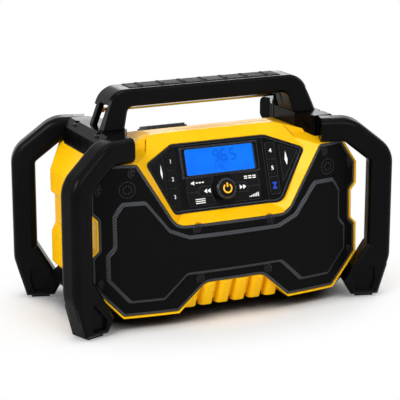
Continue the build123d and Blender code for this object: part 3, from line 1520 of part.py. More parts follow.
def usb_socket(solid=False):
    x, z = USB_HALF_WIDTH, USB_HALF_HEIGHT
    skin = USB_SKIN
    y0 = REAR_Y - USB_LENGTH
    body = block(
        PORT_X - x - skin, PORT_X + x + skin, y0, REAR_Y, USB_Z - z - skin, USB_Z + z + skin
    )
    if solid:
        return body
    return body - block(
        PORT_X - x, PORT_X + x, y0 + SOCKET_FLOOR, REAR_Y + 1, USB_Z - z, USB_Z + z
    )


def power_inlet(solid=False):
    body = rod_y(PORT_X, INLET_Z, INLET_BODY_RADIUS, REAR_Y - INLET_LENGTH, REAR_Y)
    if solid:
        return body
    back = REAR_Y + INLET_FLANGE
    body = body + rod_y(PORT_X, INLET_Z, INLET_FLANGE_RADIUS, REAR_Y, back)
    floor = REAR_Y - INLET_LENGTH + SOCKET_FLOOR
    body = body - rod_y(PORT_X, INLET_Z, INLET_BORE, floor, back + 1)
    return body + rod_y(PORT_X, INLET_Z, INLET_PIN_RADIUS, floor, floor + INLET_PIN_LENGTH)


def hinge_line():
    return COVER_X0 - COVER_BARREL - 1, REAR_Y + COVER_GAP + COVER_BARREL


def port_cover():
    """The hinged cover over the two sockets, with its barrel and pins."""
    x, y = hinge_line()
    y0 = REAR_Y + COVER_GAP
    plate = block(COVER_X0, COVER_X1, y0, y0 + COVER_THICKNESS, COVER_Z0, COVER_Z1)
    plate = fillet(plate.edges().filter_by(Axis.Y).group_by(Axis.X)[-1], COVER_CORNER)
    low, high = COVER_Z0 + COVER_EAR, COVER_Z1 - COVER_EAR
    plate = plate + block(x, COVER_X0 + 1, y0, y0 + COVER_THICKNESS, low, high)
    plate = plate + rod_z(x, y, COVER_BARREL, low, high)
    return plate + rod_z(x, y, COVER_PIN, COVER_Z0, COVER_Z1)


def cover_ears():
    x, y = hinge_line()
    half = COVER_BARREL
    ears = []
    for z0, z1 in (
        (COVER_Z0, COVER_Z0 + COVER_EAR - COVER_GAP),
        (COVER_Z1 - COVER_EAR + COVER_GAP, COVER_Z1),
    ):
        ear = block(x - half, x + half, REAR_Y - 1, y + half, z0, z1)
        ears.append(ear - rod_z(x, y, COVER_PIN + RUNNING_CLEARANCE, z0 - 1, z1 + 1))
    return ears


def standoff_places():
    margin = STANDOFF_MARGIN
    for x in (MAIN_BOARD_X0 + margin, MAIN_BOARD_X1 - margin):
        for z in (MAIN_BOARD_Z0 + margin, MAIN_BOARD_Z1 - margin):
            yield x, z


def rear_housing():
    outer, cavity = housing_shell()
    shell = outer - cavity
    wall_y = REAR_Y - WALL
    for x, z in standoff_places():
        shell = shell + rod_y(x, z, STANDOFF_RADIUS, wall_y - STANDOFF, wall_y + 1)
    for boss in cage_bosses():
        shell = shell + boss
    for ear in cover_ears():
        shell = shell + ear
    shell = shell - vent_bed() - bay_block(0, wall_y - 1, REAR_Y + 1)
    for socket in (aux_jack(True), usb_socket(True), power_inlet(True)):
        shell = shell - socket
    for x, y in cage_screw_places():
        shell = shell - cage_screw(x, y)
    return shell & block(-REACH / 2, REACH / 2, SPLIT_Y, REACH / 2, -1, REACH / 2)


# ================================================================== boards
def main_board():
    y1 = REAR_Y - WALL - STANDOFF
    board = block(
        MAIN_BOARD_X0, MAIN_BOARD_X1, y1 - BOARD_THICKNESS, y1, MAIN_BOARD_Z0, MAIN_BOARD_Z1
    )
    front = y1 - BOARD_THICKNESS
    middle = (MAIN_BOARD_Z0 + MAIN_BOARD_Z1) / 2
    half = CHIP_HALF
    for x in (MAIN_BOARD_X0 + CHIP_FROM_END, MAIN_BOARD_X1 - CHIP_FROM_END):
        board = board + block(
            x - half, x + half, front - CHIP_HEIGHT, front, middle - half, middle + half
        )
    return board


def transformer():
    z0 = BODY_FLOOR + WALL
    x0, x1 = TRANSFORMER_X0, TRANSFORMER_X1
    y0, y1 = TRANSFORMER_Y0, TRANSFORMER_Y1
    z1 = z0 + TRANSFORMER_HEIGHT
    core = block(x0, x1, y0, y1, z0, z1)
    ends, yoke_height, out = TRANSFORMER_ENDS, TRANSFORMER_YOKE, TRANSFORMER_BOBBIN
    return core + block(
        x0 + ends, x1 - ends, y0 - out, y1 + out, z0 + yoke_height, z1 - yoke_height
    )


# ================================================================== the radio
def parts():
    tube = corner_tube()
    right_yoke = yoke() - tube - rear_of(tube)
    left_yoke = left_of(right_yoke)
    right_yoke = right_yoke - antenna_post(False)
    rail = lower_rail()
    corners = {word: shape - body_block() for word, shape in four_corners(tube).items()}
    made = {
        "front_housing": front_housing(),
        "rear_housing": rear_housing(),
        "roof_vent": roof_vent(),
        "grille": grille(),
        "grille_screws": grille_screws(),
        "panel_bezel": panel_bezel(),
        "lcd_lens": lcd_lens(),
        "lcd_module": lcd_module(),
        "power_ring": power_ring(),
        "power_button": power_button(),
        "control_board": control_board(),
        "main_board": main_board(),
        "transformer": transformer(),
        "battery_bay": battery_bay(),
        "battery_terminals": battery_terminals(),
        "aux_jack": aux_jack(),
        "usb_socket": usb_socket(),
        "power_inlet": power_inlet(),
        "port_cover": port_cover(),
        "handle_front": handle_front(),
        "handle_rear": handle_rear(),
        "handle_grip": handle_grip(),
        "handle_screws": Compound(children=handle_screw_solids()),
        "yoke_right": right_yoke,
        "yoke_left": left_yoke,
        "lower_rail_right": rail,
        "lower_rail_left": left_of(rail),
        "foot_pads": Compound(children=list(four_corners(foot_pad()).values())),
        "cage_screws": Compound(children=[cage_screw(x, y) for x, y in cage_screw_places()]),
        "antenna_post": antenna_post(),
        "antenna_swivel": antenna_swivel(),
        "antenna_outer_tube": antenna_outer_tube(),
        "antenna_middle_tube": antenna_middle_tube(),
        "antenna_inner_rod": antenna_inner_rod(),
        "antenna_tip": antenna_tip(),
    }
    for name, (frame, outline) in KEYS.items():
        made[name] = key(frame, outline)
    for name, (frame, outline) in ROCKERS.items():
        made[name] = rocker(frame, outline)
    for word, side in (("right", 1), ("left", -1)):
        made["speaker_frame_" + word] = speaker_frame(side)
        made["speaker_cone_" + word] = speaker_cone(side)
        made["tweeter_" + word] = tweeter(side)
    for word, corner in corners.items():
        made["cage_tube_" + word] = corner
    return made


def main():
    os.makedirs("parts", exist_ok=True)
    for name, shape in parts().items():
        export_step(shape, os.path.join("parts", name + ".step"))


if __name__ == "__main__":
    main()
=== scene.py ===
"""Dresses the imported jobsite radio.

The housing, roll cage, handle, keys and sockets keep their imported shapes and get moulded, pressed and
plated finishes. The perforated grille, the screws, the display's digits and the marks on the keys are
modelled here. Lengths are in millimetres and angles in degrees, except where Blender takes them.
"""

import json
import logging
import math
from dataclasses import dataclass
from enum import Enum
from typing import Any, Callable, Sequence

import bpy
from mathutils import Matrix, Vector


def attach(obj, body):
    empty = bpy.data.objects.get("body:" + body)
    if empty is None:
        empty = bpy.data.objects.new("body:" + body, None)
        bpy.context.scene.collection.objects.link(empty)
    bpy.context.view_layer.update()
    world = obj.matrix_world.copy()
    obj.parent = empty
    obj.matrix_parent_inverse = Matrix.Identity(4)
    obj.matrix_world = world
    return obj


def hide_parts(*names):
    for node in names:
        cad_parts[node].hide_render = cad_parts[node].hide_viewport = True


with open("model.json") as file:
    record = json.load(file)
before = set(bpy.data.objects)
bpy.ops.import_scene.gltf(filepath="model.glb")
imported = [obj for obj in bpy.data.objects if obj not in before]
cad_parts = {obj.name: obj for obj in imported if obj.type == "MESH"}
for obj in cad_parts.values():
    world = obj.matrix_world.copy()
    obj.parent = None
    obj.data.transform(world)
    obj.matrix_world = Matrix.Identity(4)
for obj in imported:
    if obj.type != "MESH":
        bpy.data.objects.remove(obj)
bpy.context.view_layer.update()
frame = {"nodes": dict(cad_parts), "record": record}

MM = 0.001
BODY = "radio"
LOG = logging.getLogger("radio")

Point = tuple[float, float]
Corner = tuple[float, ...]
Spot = tuple[float, float, float]
Sizes = tuple[float, float, float, float]
Colour = tuple[float, float, float, float]
Piece = bpy.types.Object
Tree = bpy.types.NodeTree
Socket = bpy.types.NodeSocket
Inputs = dict[Any, Any]

UP = Vector((0.0, 0.0, 1.0))
ACROSS = Vector((1.0, 0.0, 0.0))
WHITE: Colour = (1.0, 1.0, 1.0, 1.0)
BEVEL_SAMPLES = 4
# How far the grille's flat field and its raised field stand in front of the front face.
FIELD_LEVEL = -0.7
DOME_LEVEL = 2.9


# ---- colours and nodes
def linear(code: str) -> Colour:
    """Turns an sRGB hex colour, such as "#FFC20E", into linear light with an alpha of 1."""
    parts = [int(code[i : i + 2], 16) / 255 for i in (1, 3, 5)]
    light = [p / 12.92 if p <= 0.04045 else ((p + 0.055) / 1.055) ** 2.4 for p in parts]
    return (*light, 1.0)


def add_node(tree: Tree, kind: str, inputs: Inputs | None = None, **settings: Any) -> bpy.types.Node:
    """Adds a node with its settings and links.

    Args:
        tree: the node tree that it goes into.
        kind: the node's type, such as "ShaderNodeBump".
        inputs: a value, or an output socket to link, for each input by name or number.
        settings: the node's own properties.

    Returns:
        The new node.
    """
    node = tree.nodes.new(kind)
    for name, value in settings.items():
        setattr(node, name, value)
    for name, value in (inputs or {}).items():
        if isinstance(value, Socket):
            tree.links.new(value, node.inputs[name])
        else:
            node.inputs[name].default_value = value
    return node


def add_math(tree: Tree, operation: str, *values: Any) -> Socket:
    """Adds a math node on numbers or sockets and returns its result."""
    return add_node(tree, "ShaderNodeMath", dict(enumerate(values)), operation=operation).outputs[0]


def add_vector(tree: Tree, operation: str, *values: Any) -> Socket:
    """Adds a vector math node on vectors or sockets and returns its result."""
    made = add_node(tree, "ShaderNodeVectorMath", dict(enumerate(values)), operation=operation)
    return made.outputs["Value" if operation in ("LENGTH", "DOT_PRODUCT") else "Vector"]


def add_ramp(
    tree: Tree, factor: Socket, low: float, high: float, to_low: float = 0.0, to_high: float = 1.0
) -> Socket:
    """Maps a factor's range low..high to to_low..to_high, clamped.

    Args:
        tree: the node tree.
        factor: the socket that gives the factor.
        low: the factor that becomes to_low.
        high: the factor that becomes to_high.
        to_low: the result at low.
        to_high: the result at high.

    Returns:
        The socket with the result.
    """
    inputs = {0: factor, 1: low, 2: high, 3: to_low, 4: to_high}
    ramp = add_node(tree, "ShaderNodeMapRange", inputs, clamp=True, interpolation_type="SMOOTHSTEP")
    return ramp.outputs[0]


def add_blend(tree: Tree, factor: Socket, a: Any, b: Any) -> Socket:
    """Blends two colours, which may be sockets, from a at factor 0 to b at factor 1."""
    return add_node(tree, "ShaderNodeMix", {0: factor, 6: a, 7: b}, data_type="RGBA").outputs[2]


def add_noise(tree: Tree, place: Socket, size: float, detail: float) -> Socket:
    """Adds noise of a feature size and returns its value, from 0 to 1."""
    inputs = {"Vector": place, "Scale": 1 / (size * MM), "Detail": detail}
    return add_node(tree, "ShaderNodeTexNoise", inputs).outputs[0]


def add_rounding(tree: Tree, radius: float) -> Socket:
    """Adds a normal that turns over sharp edges as if they were rounded."""
    return add_node(tree, "ShaderNodeBevel", {"Radius": radius * MM}, samples=BEVEL_SAMPLES).outputs[0]


def add_bump(tree: Tree, height: Socket, normal: Socket, strength: float, depth: float) -> Socket:
    """Adds bumps to a normal, from a height of 0 to 1 that stands for a depth."""
    inputs = {"Height": height, "Normal": normal, "Strength": strength, "Distance": depth * MM}
    return add_node(tree, "ShaderNodeBump", inputs).outputs[0]


def add_seen(tree: Tree) -> Socket:
    """Adds a value that is 1 on rays to the eye, be they straight, reflected or through a window."""
    rays = add_node(tree, "ShaderNodeLightPath").outputs
    seen = add_math(tree, "MAXIMUM", rays["Is Camera Ray"], rays["Is Glossy Ray"])
    return add_math(tree, "MAXIMUM", seen, rays["Is Transmission Ray"])


def blank_material(name: str) -> bpy.types.Material:
    """Adds a material with an empty node tree."""
    made = bpy.data.materials.new(name)
    made.use_nodes = True
    made.node_tree.nodes.clear()
    return made


# ---- directions of the radio's faces
@dataclass(frozen=True)
class Face:
    """A face of the radio: its own X and outward Z, and its origin."""

    origin: Spot
    across: Spot
    out: Spot

    def place(self, x: float = 0.0, y: float = 0.0, z: float = 0.0) -> Matrix:
        """The matrix that puts a piece at (x, y, z) on the face."""
        across, out = Vector(self.across).normalized(), Vector(self.out).normalized()
        up = out.cross(across)
        spot = Vector(self.origin) + across * x + up * y + out * z
        turn = Matrix((across, up, out)).transposed().to_4x4()
        return Matrix.Translation(spot * MM) @ turn


FRONT = Face((0.0, 0.0, 0.0), (1.0, 0.0, 0.0), (0.0, -1.0, 0.0))
ROOF = Face((0.0, 0.0, 0.0), (1.0, 0.0, 0.0), (0.0, 0.0, 1.0))
BACK = Face((0.0, 0.0, 0.0), (-1.0, 0.0, 0.0), (0.0, 1.0, 0.0))
# The control panel's middle and its two wings, which turn away from it.
MIDDLE = Face((0.0, -60.5, 146.5), (1.0, 0.0, 0.0), (0.0, -0.948876, 0.315649))
RIGHT_WING = Face((57.0, -60.5, 146.5), (0.920505, -0.370755, 0.123334), (-0.390731, -0.873445, 0.290556))
LEFT_WING = Face((-57.0, -60.5, 146.5), (0.920505, 0.370755, -0.123334), (0.390731, -0.873445, 0.290556))


@dataclass(frozen=True)
class FrontCurve:
    """The bulging, slightly leaning front that the grille follows."""

    depth: float = -93.0
    radius: float = 830.0
    lean: float = 2.0
    floor: float = 13.5

    def y(self, x: float, z: float) -> float:
        """Where the front face is at (x, z)."""
        lean = math.radians(self.lean)
        sag = self.radius - math.sqrt(self.radius**2 - x**2)
        return self.depth + math.tan(lean) * (z - self.floor) + sag / math.cos(lean)

    def add_y(self, tree: Tree, x: Socket, z: Socket) -> Socket:
        """Adds the nodes that work out y, with all three in metres."""
        lean, radius = math.radians(self.lean), self.radius * MM
        chord = add_math(tree, "SUBTRACT", radius**2, add_math(tree, "MULTIPLY", x, x))
        sag = add_math(tree, "SUBTRACT", radius, add_math(tree, "SQRT", chord))
        sag = add_math(tree, "DIVIDE", sag, math.cos(lean))
        height = add_math(tree, "SUBTRACT", z, self.floor * MM)
        lift = add_math(tree, "MULTIPLY", height, math.tan(lean))
        return add_math(tree, "ADD", add_math(tree, "ADD", sag, lift), self.depth * MM)

    def bend(self, piece: Piece) -> None:
        """Moves a flat piece's points back or forward on to the front face."""
        for point in piece.data.vertices:
            point.co.y += self.y(point.co.x / MM, point.co.z / MM) * MM
        piece.data.update()


CURVE = FrontCurve()


# ---- finishes
@dataclass(frozen=True)
class Finish:
    """A finish by its common name, with its main colour and roughness."""

    name: str
    colour: str
    roughness: float

    def material(self) -> bpy.types.Material:
        """Builds the finish's node material, or returns it if it's there already."""
        found = bpy.data.materials.get(self.name)
        if found:
            return found
        made = blank_material(self.name)
        made.diffuse_color = linear(self.colour)
        tree = made.node_tree
        place = add_node(tree, "ShaderNodeTexCoord").outputs["Object"]
        surface = add_node(tree, "ShaderNodeBsdfPrincipled", self.inputs(tree, place)).outputs[0]
        add_node(tree, "ShaderNodeOutputMaterial", {"Surface": surface})
        return made

    def inputs(self, tree: Tree, place: Socket) -> Inputs:
        """Adds the finish's own nodes.

        Args:
            tree: the material's node tree.
            place: Object coordinates, in metres.

        Returns:
            The inputs of its principled shader.
        """
        raise NotImplementedError


# Where the patches' noise turns a plastic from its colour to its shade, where it dulls it, and by how much.
PATCH_TINT = (0.35, 0.72)
PATCH_GLOSS = (0.3, 0.75)
GLOSS_SPREAD = (-0.05, 0.07)
# How far the rounded normal agrees with the sharp one beside an edge and on it, for the painted edge
# highlight.
EDGE_TURN = (0.995, 0.90)
# How far from its middle a seam starts to show, and where it's full.
SEAM_FADE = (0.7, 0.3)


@dataclass(frozen=True)
class MouldedPlastic(Finish):
    """Injection-moulded plastic: grain, softened edges, slightly uneven gloss and colour, on some a painted
    edge highlight.
    """

    shade: str
    grain: float
    depth: float
    edge: float
    edge_highlight: str = ""
    gloss: float = 0.5
    seam: float | None = None
    seam_colour: str = "#5A3300"
    patch: float = 45.0
    strength: float = 0.6

    def edge_highlighted(self, tree: Tree, colour: Socket, soft: Socket) -> Socket:
        """Paints a highlight on the edges: lightens a colour where the rounded normal leaves the sharp one.
        """
        sharp = add_node(tree, "ShaderNodeNewGeometry").outputs["Normal"]
        edge = add_ramp(tree, add_vector(tree, "DOT_PRODUCT", soft, sharp), *EDGE_TURN)
        return add_blend(tree, edge, colour, linear(self.edge_highlight))

    def parted(self, tree: Tree, colour: Socket, place: Socket) -> Socket:
        """Darkens a colour along the line where the mould's halves met."""
        across = add_node(tree, "ShaderNodeSeparateXYZ", {0: place}).outputs["Y"]
        gap = add_math(tree, "ABSOLUTE", add_math(tree, "SUBTRACT", across, self.seam * MM))
        seam = add_ramp(tree, gap, *(width * MM for width in SEAM_FADE))
        return add_blend(tree, seam, colour, linear(self.seam_colour))

    def inputs(self, tree: Tree, place: Socket) -> Inputs:
        """Adds the finish's own nodes: grain, rounded edges, handled patches, painted edge highlight,
        parting line.
        """
        soft = add_rounding(tree, self.edge)
        grain = add_noise(tree, place, self.grain, 2.0)
        patches = add_noise(tree, place, self.patch, 4.0)
        tint = add_ramp(tree, patches, *PATCH_TINT)
        colour = add_blend(tree, tint, linear(self.colour), linear(self.shade))
        # Painted highlight: where a finish has one, its edges get a lighter colour, as if they caught the
        # lamps.
        if self.edge_highlight:
            colour = self.edge_highlighted(tree, colour, soft)
        if self.seam is not None:
            colour = self.parted(tree, colour, place)
        rough = (self.roughness + spread for spread in GLOSS_SPREAD)
        return {
            "Base Color": colour,
            "Roughness": add_ramp(tree, patches, *PATCH_GLOSS, *rough),
            "Normal": add_bump(tree, grain, soft, self.strength, self.depth),
            "Specular IOR Level": self.gloss,
        }


@dataclass(frozen=True)
class DipPaint(MouldedPlastic):
    """Dip paint on steel: as even as a moulding, thin and dull."""


# How the rows of holes are turned, and where a hole's rim starts and ends, in shares of its radius.
ROW_TURN = (0.0, math.radians(45), 0.0)
RIM_FADE = (0.85, 1.15)
# How far off a field's level the sheet counts as sloping, and fully so: where the painted slope highlight
# starts and is full.
SLOPE_FADE = (0.12, 0.3)


@dataclass(frozen=True)
class PerforatedSteel(Finish):
    """Powder-coated sheet steel punched with round holes in staggered rows."""

    hole: str
    chalked: str
    slope_highlight: str
    pitch: float
    bore: float
    gloss: float
    curve: FrontCurve = CURVE
    levels: Point = (FIELD_LEVEL, DOME_LEVEL)

    def slope(self, tree: Tree, place: Socket) -> Socket:
        """Where the sheet slopes: 0 on its two flat fields, 1 on the pressed edges between them."""
        spot = add_node(tree, "ShaderNodeSeparateXYZ", {0: place}).outputs
        proud = add_math(tree, "SUBTRACT", self.curve.add_y(tree, spot["X"], spot["Z"]), spot["Y"])
        masks = []
        for level in self.levels:
            off = add_math(tree, "ABSOLUTE", add_math(tree, "SUBTRACT", proud, level * MM))
            masks.append(add_ramp(tree, off, *(height * MM for height in SLOPE_FADE)))
        return add_math(tree, "MINIMUM", *masks)

    def sheet(self, tree: Tree, place: Socket) -> Socket:
        """Where the sheet is solid: 0 in its holes, 1 between them."""
        turned = add_node(tree, "ShaderNodeMapping", {"Vector": place, "Rotation": ROW_TURN}).outputs[0]
        cells = add_vector(tree, "MULTIPLY", turned, (1 / (self.pitch * MM),) * 3)
        centred = add_vector(tree, "SUBTRACT", add_vector(tree, "FRACTION", cells), (0.5, 0.0, 0.5))
        far = add_vector(tree, "LENGTH", add_vector(tree, "MULTIPLY", centred, (1.0, 0.0, 1.0)))
        rim = self.bore / self.pitch / 2
        return add_ramp(tree, far, *(rim * share for share in RIM_FADE))

    def inputs(self, tree: Tree, place: Socket) -> Inputs:
        """Adds the finish's own nodes: holes painted dark as painted shade, and a painted highlight on the
        slopes.
        """
        sheet = self.sheet(tree, place)
        chalk = add_noise(tree, place, 1.5, 2.0)
        coat_and_highlight = add_blend(tree, chalk, linear(self.colour), linear(self.chalked))
        # Painted highlight: the slopes between the fields get a lighter grey, as if they caught the lamps.
        coat_and_highlight = add_blend(tree, self.slope(tree, place), coat_and_highlight, linear(self.slope_highlight))
        return {
            # Painted shade: the holes are near black, for the dark inside behind the sheet.
            "Base Color": add_blend(tree, sheet, linear(self.hole), coat_and_highlight),
            "Roughness": add_ramp(tree, sheet, 0.0, 1.0, 0.9, self.roughness),
            "Normal": add_bump(tree, sheet, add_rounding(tree, 1.0), 0.5, 0.3),
            "Specular IOR Level": self.gloss,
        }


@dataclass(frozen=True)
class BareMetal(Finish):
    """Plated or bare metal with faint turning marks."""

    shade: str
    streak: float
    stretch: float = 8.0

    def inputs(self, tree: Tree, place: Socket) -> Inputs:
        """Adds the finish's own nodes: streaks round the piece's long axis."""
        drawn = add_node(tree, "ShaderNodeMapping", {"Vector": place, "Scale": (self.stretch, 1.0, 1.0)})
        streak = add_noise(tree, drawn.outputs[0], self.streak * self.stretch, 3.0)
        return {
            "Base Color": add_blend(tree, streak, linear(self.colour), linear(self.shade)),
            "Roughness": add_ramp(tree, streak, 0.3, 0.7, self.roughness * 0.8, self.roughness * 1.25),
            "Normal": add_rounding(tree, 0.25),
            "Metallic": 1.0,
        }


@dataclass(frozen=True)
class ClearWindow(Finish):
    """Cast acrylic with a coat against reflections: clear, with the faintest smears."""

    index: float

    def inputs(self, tree: Tree, place: Socket) -> Inputs:
        """Adds the finish's own nodes: smears in the gloss."""
        smear = add_noise(tree, place, 20.0, 3.0)
        return {
            "Base Color": linear(self.colour),
            "Roughness": add_ramp(tree, smear, 0.4, 0.8, self.roughness, self.roughness + 0.06),
            "IOR": self.index,
            "Transmission Weight": 1.0,
        }


@dataclass(frozen=True)
class LitFilm(Finish):
    """Back-lit film: an even glow with a slow, faint cloud in it."""

    dim: str
    glow: float
    cloud: float
    unlit: str = "#020814"

    def inputs(self, tree: Tree, place: Socket) -> Inputs:
        """Adds the finish's own nodes: the glow and its unevenness."""
        even = add_ramp(tree, add_noise(tree, place, self.cloud, 1.0), 0.25, 0.8)
        return {
            "Base Color": linear(self.unlit),
            "Roughness": self.roughness,
            "Specular IOR Level": 0.1,
            "Emission Color": add_blend(tree, even, linear(self.colour), linear(self.dim)),
            "Emission Strength": self.glow,
        }


@dataclass(frozen=True)
class PadPrint(Finish):
    """Pad-printed ink: opaque, flat, with thin spots where the film is worn, and a painted glow."""

    worn: str
    glow: float

    def inputs(self, tree: Tree, place: Socket) -> Inputs:
        """Adds the finish's own nodes: the worn spots and a painted glow."""
        wear = add_ramp(tree, add_noise(tree, place, 0.9, 2.0), 0.58, 0.75)
        return {
            "Base Color": add_blend(tree, wear, linear(self.colour), linear(self.worn)),
            "Roughness": self.roughness,
            "Specular IOR Level": 0.3,
            # Painted glow: the ink gives off a little light in its own colour.
            "Emission Color": linear(self.colour),
            "Emission Strength": self.glow,
        }


# ABS with a spark-eroded satin mould: saturated yellow with soft, wide highlights.
YELLOW_ABS = MouldedPlastic(
    "yellow_abs", "#FFC40A", 0.3, shade="#FFBC08", grain=0.9, depth=0.02, edge=1.2, gloss=0.12,
    seam=-20.0,
)
# Glass-filled nylon: near black and satin, with a fine leathery mould grain.
CAGE_NYLON = MouldedPlastic(
    "cage_nylon", "#040405", 0.3, shade="#070708", grain=0.7, depth=0.03, edge=1.6, gloss=0.07
)
# ABS from a polished mould: deep black with tighter highlights.
HANDLE_ABS = MouldedPlastic(
    "handle_abs", "#040405", 0.24, shade="#070708", grain=0.8, depth=0.015, edge=1.3, gloss=0.07
)
# Thermoplastic rubber: matt black, slightly grey, no sharp highlight.
GRIP_RUBBER = MouldedPlastic(
    "grip_rubber", "#101011", 0.62, shade="#171718", grain=0.5, depth=0.06, edge=0.7, gloss=0.25
)
# Gloss ABS fascia: black, with a painted highlight along its thin rim.
FASCIA_ABS = MouldedPlastic(
    "fascia_abs", "#050506", 0.22, shade="#08080A", grain=0.6, depth=0.01, edge=1.1,
    edge_highlight="#5C6068", gloss=0.07,
)
# Silicone-coated ABS key caps: matt black, with a painted highlight on their edges.
KEY_CAP = MouldedPlastic(
    "key_cap", "#0A0A0B", 0.36, shade="#0E0E10", grain=0.5, depth=0.03, edge=0.5, edge_highlight="#1D1E21",
    gloss=0.08,
)
# ABS ring that looks turned: satin black, with a painted highlight on its chamfer.
RING_ABS = MouldedPlastic(
    "ring_abs", "#0C0C0D", 0.26, shade="#121214", grain=0.5, depth=0.02, edge=0.8, edge_highlight="#6A6D72",
    gloss=0.22,
)
# Polypropylene tray inside the battery bay: flat dark grey.
TRAY_POLYPROPYLENE = MouldedPlastic(
    "tray_polypropylene", "#1A1A1B", 0.5, shade="#222223", grain=0.8, depth=0.04, edge=0.5
)
# Nylon socket bodies: flat black.
SOCKET_NYLON = MouldedPlastic(
    "socket_nylon", "#101011", 0.45, shade="#171718", grain=0.4, depth=0.02, edge=0.3
)
# Solder-masked epoxy board: glossy dark green.
BOARD_EPOXY = MouldedPlastic(
    "board_epoxy", "#0E5A33", 0.3, shade="#0A4527", grain=2.0, depth=0.03, edge=0.3
)
# Pressed paper cone: matt grey with fibres.
PAPER_CONE = MouldedPlastic(
    "paper_cone", "#2C2C2E", 0.85, shade="#3A3A3C", grain=1.2, depth=0.1, edge=0.3, gloss=0.2
)
# Yellow vinyl ball on the whip's end.
TIP_VINYL = MouldedPlastic(
    "tip_vinyl", "#FFB50A", 0.35, shade="#F7A900", grain=0.5, depth=0.01, edge=0.3, gloss=0.3
)
# Powder-coated punched steel, its holes drawn coarse so that the rows can be seen.
# Its holes are painted dark as painted shade, and its slopes carry a painted highlight.
GRILLE_STEEL = PerforatedSteel(
    "grille_steel", "#070708", 0.42, hole="#030303", chalked="#0D0E0F", slope_highlight="#4C4E52", pitch=2.3,
    bore=1.25, gloss=0.06,
)
# Black-painted steel screws: dark, with a dull sheen and a painted highlight on their edges.
SCREW_PAINT = DipPaint(
    "screw_paint", "#0C0C0D", 0.35, shade="#121213", grain=0.4, depth=0.01, edge=0.4,
    edge_highlight="#5A5C60", gloss=0.15,
)
# The beads pressed over the tweeters: mid grey, a painted highlight lighter than the black sheet.
BEAD_HIGHLIGHT = DipPaint(
    "bead_highlight", "#3E4043", 0.5, shade="#2C2D30", grain=2.0, depth=0.01, edge=0.2, gloss=0.2
)
# Chromed brass whip: bright with fine lengthwise marks.
WHIP_CHROME = BareMetal("whip_chrome", "#DADCDF", 0.14, shade="#B9BCC1", streak=0.5)
# The transformer's laminated core steel: dull grey.
CORE_STEEL = BareMetal("core_steel", "#8A8C8F", 0.45, shade="#6B6D70", streak=1.0)
# The speakers' pressed basket steel: darker grey.
BASKET_STEEL = BareMetal("basket_steel", "#6E7073", 0.4, shade="#55575A", streak=1.0)
# Brass contacts: warm and bright.
CONTACT_BRASS = BareMetal("contact_brass", "#D8B24A", 0.25, shade="#B98F2E", streak=0.5)
# Hard-coated acrylic: clear, with very weak reflections.
WINDOW_ACRYLIC = ClearWindow("window_acrylic", "#FFFFFF", 0.03, index=1.12)
# Blue back light behind the liquid crystal film.
BLUE_BACKLIGHT = LitFilm("blue_backlight", "#007CFF", 0.5, dim="#0070FF", glow=1.0, cloud=18.0)
# Liquid crystal segments, which let less of the back light through.
CRYSTAL_SEGMENT = LitFilm("crystal_segment", "#0058E6", 0.5, dim="#004FDC", glow=1.0, cloud=6.0)
# White pad-printing ink on the keys, with a painted glow.
WHITE_INK = PadPrint("white_ink", "#F2F2F0", 0.45, worn="#B9B9B7", glow=0.15)
# Blue pad-printing ink on the wireless key, with a painted glow.
BLUE_INK = PadPrint("blue_ink", "#2450E8", 0.45, worn="#1A3CB4", glow=0.25)
# Amber ink on the power button, with a painted glow.
AMBER_INK = PadPrint("amber_ink", "#FFB21E", 0.45, worn="#D88A10", glow=0.35)

SLOT_FINISH: dict[str, Finish] = {
    "housing_yellow": YELLOW_ABS,
    "cage_black": CAGE_NYLON,
    "handle_black": HANDLE_ABS,
    "rubber_black": GRIP_RUBBER,
    "grille_black": GRILLE_STEEL,
    "screw_steel": SCREW_PAINT,
    "panel_black": FASCIA_ABS,
    "display_glass": WINDOW_ACRYLIC,
    "display_blue": BLUE_BACKLIGHT,
    "key_black": KEY_CAP,
    "ring_black": RING_ABS,
    "board_green": BOARD_EPOXY,
    "core_steel": CORE_STEEL,
    "bay_black": TRAY_POLYPROPYLENE,
    "contact_brass": CONTACT_BRASS,
    "socket_black": SOCKET_NYLON,
    "speaker_steel": BASKET_STEEL,
    "cone_grey": PAPER_CONE,
    "antenna_chrome": WHIP_CHROME,
    "tip_yellow": TIP_VINYL,
}


# ---- modelling bench
def linked(name: str, data: bpy.types.ID) -> Piece:
    """Puts some data into the scene as an object."""
    piece = bpy.data.objects.new(name, data)
    bpy.context.scene.collection.objects.link(piece)
    return piece


def only(piece: Piece) -> None:
    """Selects one object alone and makes it active."""
    bpy.ops.object.select_all(action="DESELECT")
    piece.select_set(True)
    bpy.context.view_layer.objects.active = piece


def edit(piece: Piece, picked: Callable[[bpy.types.MeshPolygon], bool] = lambda face: True) -> None:
    """Enters edit mode in face select, with the picked faces selected, or all."""
    only(piece)
    bpy.ops.object.mode_set(mode="EDIT")
    bpy.ops.mesh.select_mode(type="FACE")
    bpy.ops.mesh.select_all(action="DESELECT")
    bpy.ops.object.mode_set(mode="OBJECT")
    for face in piece.data.polygons:
        face.select = picked(face)
    bpy.ops.object.mode_set(mode="EDIT")


def done() -> None:
    """Leaves edit mode."""
    bpy.ops.object.mode_set(mode="OBJECT")


def extrude(height: float) -> None:
    """Draws the selected faces out along Z."""
    bpy.ops.mesh.extrude_region_move(TRANSFORM_OT_translate={"value": (0.0, 0.0, height * MM)})


def thicken(height: float) -> None:
    """Makes a plate of the selected faces and turns every face outwards."""
    extrude(height)
    bpy.ops.mesh.select_all(action="SELECT")
    bpy.ops.mesh.normals_make_consistent(inside=False)


